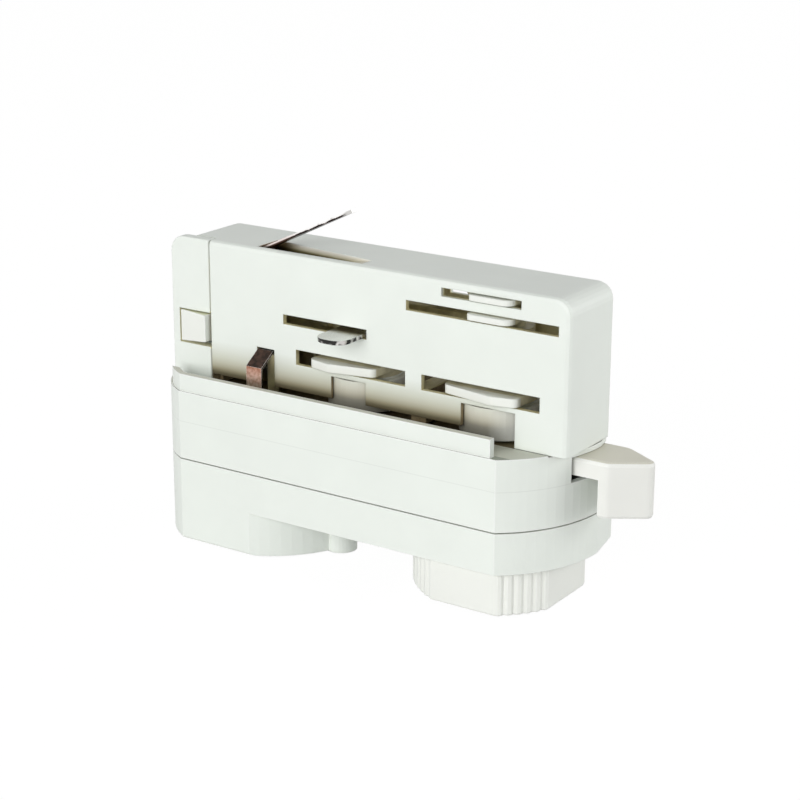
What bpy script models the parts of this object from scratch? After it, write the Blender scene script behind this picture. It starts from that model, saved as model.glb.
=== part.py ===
"""Plug-in adapter for a three-circuit lighting track, locked state.

Metres, +Z up. The origin is on the seating plane, which is the top of the base, in the middle
of the base's length and width. The contact housing stands above it and enters the track, the
base hangs below it. The locking lever points along +X.
"""
import math

import bmesh
import bpy
from mathutils import Matrix
from mathutils import Vector

# Contact housing, the part that enters the track
HOUSING_WIDTH = 0.0178
HOUSING_HEIGHT = 0.0320
HOUSING_LEFT = -0.0452
HOUSING_RIGHT = 0.0510
HOUSING_WALL = 0.0012
HOUSING_ROOF = 0.0016
HOUSING_TOP_RADIUS = 0.0034
HOUSING_HEEL_RADIUS = 0.0055
HOUSING_EDGE = 0.0010
HOUSING_BLOCK_LENGTH = 0.0092
BRIDGE_X = 0.0150
BRIDGE_LENGTH = 0.0036
BRIDGE_HEIGHT = 0.0076
FOOT_SLOT_START = -0.0368
FOOT_SLOT_END = 0.0390
FOOT_SLOT_HEIGHT = 0.0024
WINDOW_BAR = 0.0010
LEFT_WINDOW_START = -0.0035
LEFT_WINDOW_END = 0.0052
RIGHT_WINDOW_START = -0.0043
RIGHT_WINDOW_END = 0.0083

# Latch plate on the left end and its wedge catch
PLATE_LEFT = -0.0478
PLATE_LENGTH = 0.01035
PLATE_THICKNESS = 0.0024
PLATE_WINDOW_BOTTOM = 0.00825
PLATE_WINDOW_HEIGHT = 0.00765
PLATE_WINDOW_MARGIN = 0.0019
CATCH_PROUD = 0.00165
CATCH_THICKNESS = 0.0016
CATCH_RISE = 0.0011
CATCH_POCKET_DEPTH = 0.0034

# Rotors
RIGHT_AXIS_X = 0.0308
AXIS_SPACING = 0.0327
LOBE_LEVEL = 0.0085
LOBE_THICKNESS = 0.0018
LOBE_NOSE_REACH = 0.0106
LOBE_NOSE_SHIFT = 0.0034
LOBE_HEEL_REACH = 0.0085
LEFT_HEEL_LENGTH = 0.0070
LOBE_TOE_REACH = 0.0094
LOBE_ROUNDING = 0.0014
LOBE_SLOT_RELIEF = 0.0009
LOBE_SLOT_HEADROOM = 0.0012
LEFT_SLOT_SHIFT = 0.0012
SKIRT_INSET = 0.0002
NECK_RADIUS = 0.0050
STUB_RADIUS = 0.0042
STUB_HEIGHT = 0.0026
DRIVE_SQUARE = 0.0056
BORE_RADIUS = 0.0019

# Contacts
NEUTRAL_LEVEL = 0.0169
NEUTRAL_REACH = 0.0170
NEUTRAL_WIDTH = 0.0074
NEUTRAL_SHIFT = 0.0012
TONGUE_THICKNESS = 0.0009
NEUTRAL_PIN_RADIUS = 0.0015
WASHER_RADIUS = 0.0032
WASHER_THICKNESS = 0.0007
NEUTRAL_SLOT_MARGIN = 0.00055
PHASE_REACH = 0.0165
PHASE_WIDTH = 0.0050
PHASE_SLOT_RELIEF = 0.0011

# Selector
CAM_LOWER_LEVEL = 0.0250
CAM_UPPER_LEVEL = 0.0288
CAM_PLATE = 0.0012
CAM_HUB_RADIUS = 0.0045
CAM_HUB_BOTTOM = 0.0136
CAM_LOWER_NOSE = 0.0102
CAM_UPPER_NOSE = 0.0096
CAM_NOSE_START = -0.0028
CAM_NOSE_END = 0.0072
CAM_NOSE_ROUNDING = 0.0022
RING_RADIUS = 0.0064
RING_LEVEL = 0.0206
RING_THICKNESS = 0.0018
SHAFT_RADIUS = 0.0015
DIAL_HALF = 0.0157
DIAL_FLAT_START = -0.0059
DIAL_FLAT_END = 0.0081
DIAL_CORNER_BULGE = 0.0008
DIAL_HEIGHT = 0.0092
DIAL_RIBS = 6
DIAL_RIB_DEPTH = 0.00045
DIAL_EDGE = 0.0005
DIAL_HUB_RADIUS = 0.0040

# Base body and lower cover
BASE_WIDTH = 0.0342
BASE_LEFT = -0.0507
LEFT_END_EXTRA = 0.0019
RIDGE_X = 0.0510
RIDGE_Y = 0.0050
RIGHT_END_EXTRA = 0.0052
BACK_TAPER = 0.20
BACK_CORNER_RADIUS = 0.0035
BASE_DEPTH = 0.0152
BASE_ROOF = 0.0011
BASE_WALL = 0.0014
HOUSING_SEAT_DEPTH = 0.0003
ROOF_CORNER_X = 0.0445
ROOF_CORNER_Y = 0.0075
RAIL_HEIGHT = 0.0038
RAIL_INSET = 0.0004
RAIL_THICKNESS = 0.0015
RAIL_END_Y = -0.0130
RAIL_RIGHT = 0.03815
COVER_DEPTH = 0.0088
COVER_FLOOR = 0.0015
COVER_EDGE = 0.0006
BOSS_RIDGE_X = -0.0069
BOSS_END_EXTRA = 0.0018
BOSS_HEIGHT = 0.0097
EAR_RADIUS = 0.0035
EAR_X = -0.0083
EAR_Y = -0.0015
EAR_DROP = 0.0003
STEM_RADIUS = 0.00525
NUT_FLATS = 0.0130
NUT_THICKNESS = 0.0040
NUT_BORE_RADIUS = 0.0050
NUT_SEAT_DEPTH = 0.0050

# Locking lever
LEVER_TOP_GAP = 0.0003
LEVER_THICKNESS = 0.0039
LEVER_REACH = 0.0348
LEVER_FRONT = 0.0029
LEVER_BACK = 0.0086
LEVER_TIP_Y = 0.0029
LEVER_GRIP_RADIUS = 0.0242
LEVER_GRIP_DEPTH = 0.0119
LEVER_EDGE = 0.0008
LEVER_HUB_RADIUS = 0.0072
LEVER_SLOT_HEIGHT = 0.0054
LEVER_SLOT_START = -0.0040
LEVER_SLOT_MARGIN = 0.0006

# Rack drive between the two rotors
GEAR_MODULE = 0.0010
GEAR_TEETH = 12
PRESSURE_ANGLE = math.radians(25)
GEAR_ADDENDUM = 0.0008
GEAR_DEDENDUM = 0.0010
GEAR_BACKLASH = 0.00015
GEAR_TOP = -0.0080
GEAR_WIDTH = 0.0042
RACK_BACK = 0.0022
RACK_TRAVEL_ANGLE = math.radians(90)
RACK_ENGAGEMENT = 0.0055
RACK_WEB = 0.0044

# Springs and strips
LEAF_X = -0.0255
LEAF_LENGTH = 0.0266
LEAF_ANGLE = math.radians(25.5)
LEAF_THICKNESS = 0.00065
LEAF_SINK = 0.0007
LEAF_FRONT_Y = -0.0065
LEAF_ROOT_WIDTH = 0.0055
LEAF_TIP_WIDTH = 0.0020
LEAF_EYE_RADIUS = 0.0008
POCKET_START = -0.0255
POCKET_END = 0.0015
POCKET_DEPTH = 0.0045
POCKET_MARGIN = 0.0008
EARTH_X = -0.0225
EARTH_WIDTH = 0.0040
EARTH_THICKNESS = 0.0005
EARTH_TOP = 0.0099
EARTH_RAIL_GAP = 0.0023
EARTH_SHOULDER = 0.0072
EARTH_INNER_Y = -0.0060
EARTH_FOOT = 0.0022
EARTH_PRESS = 0.0035
STRIP_THICKNESS = 0.0006
STRIP_WIDTH = 0.0030
NEUTRAL_FEED_X = -0.0150
NEUTRAL_FEED_LEVEL = 0.0140
PHASE_FEED_X = -0.0166
PHASE_FEED_WIDTH = 0.0016

# Terminal block
BLOCK_X = -0.0370
BLOCK_LENGTH = 0.0190
BLOCK_WIDTH = 0.0110
BLOCK_HEIGHT = 0.0093
BLOCK_EDGE = 0.0004
TERMINAL_PITCH = 0.0055
TERMINAL_COUNT = 3
TERMINAL_HEAD_RADIUS = 0.0019
TERMINAL_SHANK_RADIUS = 0.0012

# Screws
SCREW_SHANK_RADIUS = 0.00125
SCREW_HEAD_RADIUS = 0.0024
SCREW_HEAD_HEIGHT = 0.0016
COVER_SCREW_X = 0.0085
COVER_SCREW_MARGIN = 0.0048
COVER_SCREW_LENGTH = 0.0160
HOUSING_SCREW_LENGTH = 0.0075
POST_WALL = 0.0016

# Clearances
GAP = 0.0003
RUN_GAP = 0.0003
HOLE_GAP = 0.0003
SKIN = 0.0010

# Values that follow from the sizes above
HALF_HOUSING = HOUSING_WIDTH / 2
HALF_CAVITY = HALF_HOUSING - HOUSING_WALL
HALF_BASE = BASE_WIDTH / 2
EARTH_REACH = HALF_BASE - RAIL_INSET - RAIL_THICKNESS - EARTH_RAIL_GAP
COVER_SCREW_Y = HALF_BASE - COVER_SCREW_MARGIN
LEFT_END_RADIUS = HALF_BASE + LEFT_END_EXTRA
RIGHT_END_RADIUS = HALF_BASE + RIDGE_Y + RIGHT_END_EXTRA
BOSS_END_RADIUS = HALF_BASE + RIDGE_Y + BOSS_END_EXTRA
LEFT_AXIS_X = RIGHT_AXIS_X - AXIS_SPACING
DRUM_RADIUS = HALF_CAVITY - RUN_GAP
LOBE_HALF_LENGTH = HALF_HOUSING - RUN_GAP / 3
LOBE_SWEEP = math.hypot(LOBE_HALF_LENGTH, LOBE_TOE_REACH)
LOBE_TOP = LOBE_LEVEL + LOBE_THICKNESS
SKIRT_RADIUS = HALF_HOUSING - SKIRT_INSET
WINDOW_TOP = LOBE_LEVEL - GAP - WINDOW_BAR
CAVITY_CEILING = HOUSING_HEIGHT - HOUSING_ROOF
PITCH_RADIUS = GEAR_MODULE * GEAR_TEETH / 2
GEAR_BOTTOM = GEAR_TOP - GEAR_WIDTH
RACK_TRAVEL = PITCH_RADIUS * RACK_TRAVEL_ANGLE
LEVER_TOP = -BASE_ROOF - LEVER_TOP_GAP
LEVER_BOTTOM = LEVER_TOP - LEVER_THICKNESS
COVER_TOP = -BASE_DEPTH - GAP
COVER_BOTTOM = COVER_TOP - COVER_DEPTH
COVER_INSIDE = COVER_BOTTOM + COVER_FLOOR
BOSS_BOTTOM = COVER_BOTTOM - BOSS_HEIGHT
LEFT_CENTRE_X = BASE_LEFT + LEFT_END_RADIUS
DIAL_TOP = COVER_BOTTOM - GAP
DIAL_BOTTOM = DIAL_TOP - DIAL_HEIGHT
PLATE_RIGHT = PLATE_LEFT + PLATE_LENGTH
PLATE_BACK_Y = -HALF_HOUSING + PLATE_THICKNESS
BLOCK_TOP = -BASE_ROOF - GAP
BLOCK_BOTTOM = BLOCK_TOP - BLOCK_HEIGHT
BLOCK_END_X = BLOCK_X + BLOCK_LENGTH

PARTS = "track_light_adapter"
CUTTERS = "cutters"


def clear_scene():
    for obj in list(bpy.data.objects):
        bpy.data.objects.remove(obj, do_unlink=True)
    for name in (PARTS, CUTTERS):
        group = bpy.data.collections.new(name)
        bpy.context.scene.collection.children.link(group)


def make_material(name, colour, roughness, metallic=0.0):
    material = bpy.data.materials.new(name)
    material.use_nodes = True
    shader = material.node_tree.nodes["Principled BSDF"]
    shader.inputs["Base Color"].default_value = (*colour, 1.0)
    shader.inputs["Roughness"].default_value = roughness
    shader.inputs["Metallic"].default_value = metallic
    return material


def add_object(name, mesh, group):
    obj = bpy.data.objects.new(name, mesh)
    bpy.data.collections[group].objects.link(obj)
    if group == CUTTERS:
        obj.hide_render = True
        obj.display_type = "WIRE"
    return obj


def block(name, x_range, y_range, z_range, group=PARTS):
    """Box between two limits on each axis."""
    mesh = bpy.data.meshes.new(name)
    bm = bmesh.new()
    bmesh.ops.create_cube(bm, size=1.0)
    size = Vector((x_range[1] - x_range[0], y_range[1] - y_range[0], z_range[1] - z_range[0]))
    middle = Vector((sum(x_range) / 2, sum(y_range) / 2, sum(z_range) / 2))
    bmesh.ops.scale(bm, vec=size, verts=bm.verts)
    bmesh.ops.translate(bm, vec=middle, verts=bm.verts)
    bm.to_mesh(mesh)
    bm.free()
    return add_object(name, mesh, group)


def rod(name, x, y, radius, z_range, group=PARTS, segments=28):
    """Upright cylinder."""
    mesh = bpy.data.meshes.new(name)
    bm = bmesh.new()
    bmesh.ops.create_cone(bm, cap_ends=True, segments=segments, radius1=radius, radius2=radius,
                          depth=z_range[1] - z_range[0])
    bmesh.ops.translate(bm, vec=Vector((x, y, sum(z_range) / 2)), verts=bm.verts)
    bm.to_mesh(mesh)
    bm.free()
    return add_object(name, mesh, group)


PLANES = {
    "XY": Matrix.Identity(4),
    "XZ": Matrix(((1, 0, 0, 0), (0, 0, -1, 0), (0, 1, 0, 0), (0, 0, 0, 1))),
    "YZ": Matrix(((0, 0, 1, 0), (1, 0, 0, 0), (0, 1, 0, 0), (0, 0, 0, 1))),
}


def slab(name, outline, limits, group=PARTS, plane="XY"):
    """Flat outline with a thickness, drawn as a filled 2D curve and turned into a mesh.

    The outline lies in the named plane, and limits is its extent along the third axis.
    """
    curve = bpy.data.curves.new(name + "_outline", "CURVE")
    curve.dimensions = "2D"
    curve.fill_mode = "BOTH"
    curve.extrude = (limits[1] - limits[0]) / 2
    spline = curve.splines.new("POLY")
    spline.points.add(len(outline) - 1)
    for point, place in zip(spline.points, outline):
        point.co = (place[0], place[1], 0.0, 1.0)
    spline.use_cyclic_u = True
    drawn = bpy.data.objects.new(name + "_drawn", curve)
    bpy.context.scene.collection.objects.link(drawn)
    depsgraph = bpy.context.evaluated_depsgraph_get()
    mesh = bpy.data.meshes.new_from_object(drawn.evaluated_get(depsgraph))
    bpy.data.objects.remove(drawn, do_unlink=True)
    bpy.data.curves.remove(curve)
    middle = sum(limits) / 2
    shift = {"XY": (0, 0, middle), "XZ": (0, middle, 0), "YZ": (middle, 0, 0)}[plane]
    bm = bmesh.new()
    bm.from_mesh(mesh)
    bmesh.ops.remove_doubles(bm, verts=bm.verts, dist=0.000001)
    bmesh.ops.dissolve_limit(bm, angle_limit=0.001, verts=bm.verts, edges=bm.edges)
    bmesh.ops.transform(bm, matrix=Matrix.Translation(shift) @ PLANES[plane], verts=bm.verts)
    bmesh.ops.recalc_face_normals(bm, faces=bm.faces)
    bm.to_mesh(mesh)
    bm.free()
    mesh.name = name
    return add_object(name, mesh, group)


def turned(name, x, y, profile, group=PARTS, steps=40):
    """Turned shape: a closed or axis-to-axis profile of (radius, z), outer side downwards."""
    mesh = bpy.data.meshes.new(name)
    points = [(radius, 0.0, z) for radius, z in profile]
    edges = [(index, index + 1) for index in range(len(points) - 1)]
    if profile[0][0] > 0:
        edges.append((len(points) - 1, 0))
    mesh.from_pydata(points, edges, [])
    obj = add_object(name, mesh, group)
    obj.location = (x, y, 0.0)
    screw = obj.modifiers.new("turn", "SCREW")
    screw.steps = steps
    screw.render_steps = steps
    screw.use_merge_vertices = True
    screw.merge_threshold = 0.000001
    screw.use_smooth_shade = True
    return obj


def soften(obj, width, segments=2, angle=60):
    bevel = obj.modifiers.new("edges", "BEVEL")
    bevel.width = width
    bevel.segments = segments
    bevel.limit_method = "ANGLE"
    bevel.angle_limit = math.radians(angle)
    return obj


def combine(target, tool, operation):
    """Boolean with a tool that stays in the cutters' collection."""
    for group in tool.users_collection:
        group.objects.unlink(tool)
    bpy.data.collections[CUTTERS].objects.link(tool)
    tool.hide_render = True
    tool.display_type = "WIRE"
    modifier = target.modifiers.new(tool.name, "BOOLEAN")
    modifier.operation = operation
    modifier.solver = "EXACT"
    modifier.object = tool


def cut(target, *tools):
    for tool in tools:
        combine(target, tool, "DIFFERENCE")


def join(target, *tools):
    for tool in tools:
        combine(target, tool, "UNION")


def arc(centre_x, centre_y, radius, start, end, steps):
    """Points along an arc, angles in radians."""
    points = []
    for index in range(steps + 1):
        angle = start + (end - start) * index / steps
        points.append((centre_x + radius * math.cos(angle), centre_y + radius * math.sin(angle)))
    return points


def rounded(corners, step=math.radians(15)):
    """Polygon from (x, y, radius) corners, each rounded by its radius."""
    points = []
    count = len(corners)
    for index, (x, y, radius) in enumerate(corners):
        here = Vector((x, y))
        if radius <= 0:
            points.append((x, y))
            continue
        before = (Vector(corners[index - 1][:2]) - here).normalized()
        after = (Vector(corners[(index + 1) % count][:2]) - here).normalized()
        half = before.angle(after) / 2
        centre = here + (before + after).normalized() * (radius / math.sin(half))
        reach = radius / math.tan(half)
        first = here + before * reach - centre
        last = here + after * reach - centre
        turn = math.atan2(first.x * last.y - first.y * last.x, first.dot(last))
        steps = max(2, math.ceil(abs(turn) / step))
        start = math.atan2(first.y, first.x)
        points += arc(centre.x, centre.y, radius, start, start + turn, steps)
    return points


def inset(outline, distance):
    """Outline moved inwards by a wall's thickness; the outline runs anticlockwise."""
    moved = []
    count = len(outline)
    for index in range(count):
        here = Vector(outline[index])
        before = (here - Vector(outline[index - 1])).normalized()
        after = (Vector(outline[(index + 1) % count]) - here).normalized()
        first = Vector((-before.y, before.x))
        second = Vector((-after.y, after.x))
        middle = (first + second).normalized()
        moved.append(tuple(here + middle * (distance / middle.dot(first))))
    return moved


def mirrored(outline):
    """Outline mirrored left to right, still anticlockwise."""
    return [(-x, y) for x, y in reversed(outline)]


def moved(outline, x, y):
    return [(px + x, py + y) for px, py in outline]


def slot(name, x_range, z_range, rear=False):
    """Cutter for a slot through the front wall of the housing, or through both walls."""
    depth = HALF_HOUSING + SKIN
    y_range = (-depth, depth if rear else -HALF_CAVITY + SKIN)
    return block(name, x_range, y_range, z_range, CUTTERS)


def sweep_chord(radius):
    """Half length of the opening that a corner at this radius sweeps at the wall's inner face."""
    return math.sqrt(radius ** 2 - HALF_CAVITY ** 2)


def make_contact_housing():
    outline = rounded([
        (HOUSING_LEFT, -SKIN, 0),
        (HOUSING_RIGHT, -SKIN, 0),
        (HOUSING_RIGHT, HOUSING_HEIGHT, HOUSING_TOP_RADIUS),
        (HOUSING_LEFT, HOUSING_HEIGHT, HOUSING_TOP_RADIUS),
    ])
    housing = slab("contact_housing", outline, (-HALF_HOUSING, HALF_HOUSING), plane="XZ")
    soften(housing, HOUSING_EDGE)
    far = HOUSING_RIGHT + SKIN
    near = HOUSING_LEFT - SKIN
    foot = block("housing_foot", (near, far), (-HALF_BASE, HALF_BASE), (-2 * SKIN, 0), CUTTERS)
    heel_x = HOUSING_LEFT + HOUSING_HEEL_RADIUS
    heel_y = HALF_HOUSING - HOUSING_HEEL_RADIUS
    heel = arc(heel_x, heel_y, HOUSING_HEEL_RADIUS, math.pi, math.pi / 2, 8)
    heel += [(heel_x, HALF_HOUSING + SKIN), (near, HALF_HOUSING + SKIN), (near, heel_y)]
    heel_cut = slab("housing_heel", heel, (-SKIN, HOUSING_HEIGHT + SKIN), CUTTERS)
    recess = block("plate_recess", (near, PLATE_RIGHT + GAP), (-HALF_HOUSING - SKIN, PLATE_BACK_Y + GAP),
                   (-SKIN, HOUSING_HEIGHT + SKIN), CUTTERS)
    start = HOUSING_LEFT + HOUSING_BLOCK_LENGTH
    low_ceiling = HOUSING_HEIGHT - POCKET_DEPTH - HOUSING_ROOF
    step_x = POCKET_END + 2 * HOUSING_WALL
    cavity = slab("housing_cavity", [
        (start, -SKIN),
        (HOUSING_RIGHT - HOUSING_WALL, -SKIN),
        (HOUSING_RIGHT - HOUSING_WALL, CAVITY_CEILING - HOUSING_TOP_RADIUS),
        (HOUSING_RIGHT - HOUSING_TOP_RADIUS, CAVITY_CEILING),
        (step_x, CAVITY_CEILING),
        (step_x, low_ceiling),
        (start, low_ceiling),
    ], (-HALF_CAVITY, HALF_CAVITY), CUTTERS, "XZ")
    cut(housing, foot, heel_cut, recess, cavity)
    bridge = block("housing_bridge", (BRIDGE_X - BRIDGE_LENGTH / 2, BRIDGE_X + BRIDGE_LENGTH / 2),
                   (-HALF_CAVITY - HOUSING_WALL / 2, HALF_CAVITY + HOUSING_WALL / 2),
                   (GAP, BRIDGE_HEIGHT), CUTTERS)
    join(housing, bridge)
    cut_contact_slots(housing)
    cut_leaf_pocket(housing)
    pocket_z = (PLATE_WINDOW_BOTTOM, PLATE_WINDOW_BOTTOM + PLATE_WINDOW_HEIGHT)
    pocket = block("catch_pocket", (HOUSING_LEFT + HOUSING_WALL, PLATE_RIGHT + GAP),
                   (PLATE_BACK_Y, PLATE_BACK_Y + CATCH_POCKET_DEPTH), pocket_z, CUTTERS)
    cut(housing, pocket)
    for number, x in enumerate(housing_screw_places()):
        hole = rod(f"housing_screw_hole_{number}", x, 0, SCREW_SHANK_RADIUS + HOLE_GAP,
                   (-SKIN, HOUSING_SCREW_LENGTH - BASE_ROOF), CUTTERS, 16)
        cut(housing, hole)
    return housing


def housing_screw_places():
    return (HOUSING_LEFT + HOUSING_BLOCK_LENGTH / 2, BRIDGE_X)


def cut_contact_slots(housing):
    """Slots that the lobes and the contacts sweep through, and the windows on the rotors' skirts."""
    lobe_half = LOBE_SWEEP + LOBE_SLOT_RELIEF
    for side, x in (("left", LEFT_AXIS_X + LEFT_SLOT_SHIFT), ("right", RIGHT_AXIS_X)):
        cut(housing, slot(f"{side}_lobe_slot", (x - lobe_half, x + lobe_half),
                          (LOBE_LEVEL - GAP, LOBE_TOP + LOBE_SLOT_HEADROOM), True))
    windows = (("left", LEFT_AXIS_X, LEFT_WINDOW_START, LEFT_WINDOW_END),
               ("right", RIGHT_AXIS_X, RIGHT_WINDOW_START, RIGHT_WINDOW_END))
    for side, x, start, end in windows:
        relief = rod(f"{side}_skirt_relief", x, 0, SKIRT_RADIUS + RUN_GAP, (-SKIN, WINDOW_TOP), CUTTERS, 40)
        window = slot(f"{side}_skirt_window", (x + start, x + end), (-2 * SKIN, WINDOW_TOP), True)
        cut(housing, relief, window)
    cut(housing, slot("foot_slot", (FOOT_SLOT_START, FOOT_SLOT_END), (-SKIN, FOOT_SLOT_HEIGHT)))
    tongue_x = LEFT_AXIS_X + NEUTRAL_SHIFT
    tongue_top = NEUTRAL_LEVEL + TONGUE_THICKNESS
    cut(housing, slot("neutral_slot",
                      (tongue_x - NEUTRAL_REACH, tongue_x + NEUTRAL_WIDTH / 2 + NEUTRAL_SLOT_MARGIN),
                      (NEUTRAL_LEVEL - GAP, tongue_top + 3 * GAP)))
    phase_half = PHASE_REACH + PHASE_SLOT_RELIEF
    cut(housing, slot("phase_slot", (RIGHT_AXIS_X - phase_half, RIGHT_AXIS_X + phase_half),
                      (CAM_LOWER_LEVEL - 2 * GAP, CAM_LOWER_LEVEL + CAM_PLATE + GAP), True))
    nose_half = sweep_chord(math.hypot(CAM_NOSE_END, CAM_UPPER_NOSE))
    cut(housing, slot("cam_slot", (RIGHT_AXIS_X - nose_half, RIGHT_AXIS_X + nose_half),
                      (CAM_UPPER_LEVEL - GAP, CAM_UPPER_LEVEL + CAM_PLATE + GAP), True))
    cut(housing, slot("earth_slot",
                      (EARTH_X - EARTH_WIDTH / 2 - GAP, EARTH_X + EARTH_WIDTH / 2 + GAP),
                      (-SKIN, EARTH_TOP + EARTH_THICKNESS / 2 + GAP)))


def leaf_edge(x):
    """Rear edge of the leaf spring's plan at a place along its length."""
    share = (x - LEAF_X) / LEAF_LENGTH
    width = LEAF_ROOT_WIDTH + (LEAF_TIP_WIDTH - LEAF_ROOT_WIDTH) * share
    return LEAF_FRONT_Y + width


def cut_leaf_pocket(housing):
    """Tapered pocket in the top with a ramp floor, and the groove for the spring's rolled eye."""
    front = LEAF_FRONT_Y - POCKET_MARGIN
    top = HOUSING_HEIGHT + SKIN
    plan = [
        (POCKET_START, front),
        (POCKET_END, front),
        (POCKET_END, leaf_edge(POCKET_END) + POCKET_MARGIN),
        (POCKET_START, leaf_edge(POCKET_START) + POCKET_MARGIN),
    ]
    pocket = slab("leaf_pocket", plan, (HOUSING_HEIGHT - POCKET_DEPTH, top), CUTTERS)
    for vertex in pocket.data.vertices:
        if vertex.co.z < HOUSING_HEIGHT:
            share = (vertex.co.x - POCKET_START) / (POCKET_END - POCKET_START)
            vertex.co.z = HOUSING_HEIGHT - POCKET_DEPTH * (1 - share) - GAP * share
    eye = LEAF_EYE_RADIUS + GAP
    groove = block("leaf_groove", (LEAF_X - eye, POCKET_START + SKIN),
                   (LEAF_FRONT_Y - GAP, LEAF_FRONT_Y + LEAF_ROOT_WIDTH + GAP),
                   (leaf_axis_z() - eye, leaf_axis_z() + eye), CUTTERS)
    cut(housing, pocket, groove)


def leaf_axis_z():
    return HOUSING_HEIGHT - LEAF_EYE_RADIUS - LEAF_SINK


def make_latch_plate():
    outline = rounded([
        (PLATE_LEFT, GAP, 0.0005),
        (PLATE_RIGHT, GAP, 0),
        (PLATE_RIGHT, HOUSING_HEIGHT, 0),
        (PLATE_LEFT, HOUSING_HEIGHT, HOUSING_TOP_RADIUS),
    ])
    plate = slab("latch_plate", outline, (-HALF_HOUSING, PLATE_BACK_Y), plane="XZ")
    soften(plate, PLATE_THICKNESS / 8)
    window = block("plate_window", (PLATE_LEFT + PLATE_WINDOW_MARGIN, PLATE_RIGHT + SKIN),
                   (-HALF_HOUSING - SKIN, PLATE_BACK_Y + SKIN),
                   (PLATE_WINDOW_BOTTOM, PLATE_WINDOW_BOTTOM + PLATE_WINDOW_HEIGHT), CUTTERS)
    cut(plate, window)
    return plate


def make_snap_catch():
    """Wedge that stands flush at its left end and proud at its right end."""
    hinge_x = PLATE_LEFT + PLATE_WINDOW_MARGIN + GAP
    hinge_y = -HALF_HOUSING + CATCH_THICKNESS / 2
    length = PLATE_RIGHT - GAP / 2 - hinge_x
    top = PLATE_WINDOW_BOTTOM + PLATE_WINDOW_HEIGHT - GAP
    front = -CATCH_THICKNESS / 2
    back = CATCH_THICKNESS / 2
    plan = [(0, front), (length, front - CATCH_PROUD), (length, back - CATCH_PROUD / 2), (0, back)]
    catch = slab("snap_catch", plan, (PLATE_WINDOW_BOTTOM + GAP, top))
    for vertex in catch.data.vertices:
        if vertex.co.z < top - PLATE_WINDOW_HEIGHT / 2:
            vertex.co.z += CATCH_RISE * vertex.co.x / length
    catch.location = (hinge_x, hinge_y, 0)
    soften(catch, GAP / 2, 1)
    return catch


def lobe_outline(heel_length):
    """Lobe of the right rotor about its axis: the nose stands out past the housing's side."""
    half = LOBE_HALF_LENGTH
    rounding = LOBE_ROUNDING
    front = [
        (-heel_length, -LOBE_HEEL_REACH, rounding),
        (LOBE_NOSE_SHIFT, -LOBE_NOSE_REACH, rounding),
        (half, -LOBE_TOE_REACH, rounding),
    ]
    rear = [(-x, -y, radius) for x, y, radius in front]
    return rounded(front + rear)


def make_rotor(name, axis_x, lobe, stub_top, bore):
    """Skirt, drum, lobe and stub above the base's roof, and the square shaft below it."""
    drum_top = LOBE_LEVEL + LOBE_THICKNESS / 4
    profile = [(0, stub_top), (STUB_RADIUS, stub_top)]
    if bore == 0:
        pin_top = NEUTRAL_LEVEL + TONGUE_THICKNESS + WASHER_THICKNESS + 3 * GAP
        pin = [(0, pin_top), (NEUTRAL_PIN_RADIUS, pin_top), (NEUTRAL_PIN_RADIUS, stub_top)]
        profile = pin + [(STUB_RADIUS, stub_top)]
    profile += [
        (STUB_RADIUS, drum_top),
        (DRUM_RADIUS, drum_top),
        (DRUM_RADIUS, WINDOW_TOP - GAP),
        (SKIRT_RADIUS, WINDOW_TOP - GAP),
        (SKIRT_RADIUS, GAP),
        (NECK_RADIUS, GAP),
        (NECK_RADIUS, LEVER_TOP),
        (0, LEVER_TOP),
    ]
    rotor = turned(name, axis_x, 0, profile)
    plate = slab(f"{name}_lobe", moved(lobe, axis_x, 0), (LOBE_LEVEL, LOBE_TOP), CUTTERS)
    half = DRIVE_SQUARE / 2
    square = block(f"{name}_square", (axis_x - half, axis_x + half), (-half, half),
                   (GEAR_BOTTOM - SKIN, LEVER_TOP + BASE_ROOF / 2), CUTTERS)
    join(rotor, plate, square)
    if bore > 0:
        hollow = rod(f"{name}_bore", axis_x, 0, bore, (GEAR_BOTTOM - 2 * SKIN, stub_top + SKIN), CUTTERS)
        cut(rotor, hollow)
    return rotor


def make_right_rotor():
    return make_rotor("right_rotor", RIGHT_AXIS_X, lobe_outline(LOBE_HALF_LENGTH),
                      LOBE_TOP + STUB_HEIGHT, BORE_RADIUS)


def make_left_rotor():
    return make_rotor("left_rotor", LEFT_AXIS_X, mirrored(lobe_outline(LEFT_HEEL_LENGTH)),
                      NEUTRAL_LEVEL - GAP, 0)


def involute(angle):
    return math.tan(angle) - angle


def pinion_outline():
    """Involute pinion about its axis, with a tooth on each multiple of the tooth angle."""
    base = PITCH_RADIUS * math.cos(PRESSURE_ANGLE)
    outer = PITCH_RADIUS + GEAR_ADDENDUM
    root = PITCH_RADIUS - GEAR_DEDENDUM
    half_pitch = math.pi / (2 * GEAR_TEETH) - GEAR_BACKLASH / (2 * PITCH_RADIUS)
    flank = [(root, half_pitch + involute(PRESSURE_ANGLE))]
    samples = 4
    for index in range(samples + 1):
        radius = base + (outer - base) * index / samples
        lean = math.acos(min(1.0, base / radius))
        flank.append((radius, half_pitch + involute(PRESSURE_ANGLE) - involute(lean)))
    points = []
    for tooth in range(GEAR_TEETH):
        middle = 2 * math.pi * tooth / GEAR_TEETH
        for radius, half in flank:
            points.append((radius * math.cos(middle - half), radius * math.sin(middle - half)))
        for radius, half in reversed(flank):
            points.append((radius * math.cos(middle + half), radius * math.sin(middle + half)))
    return points


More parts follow.
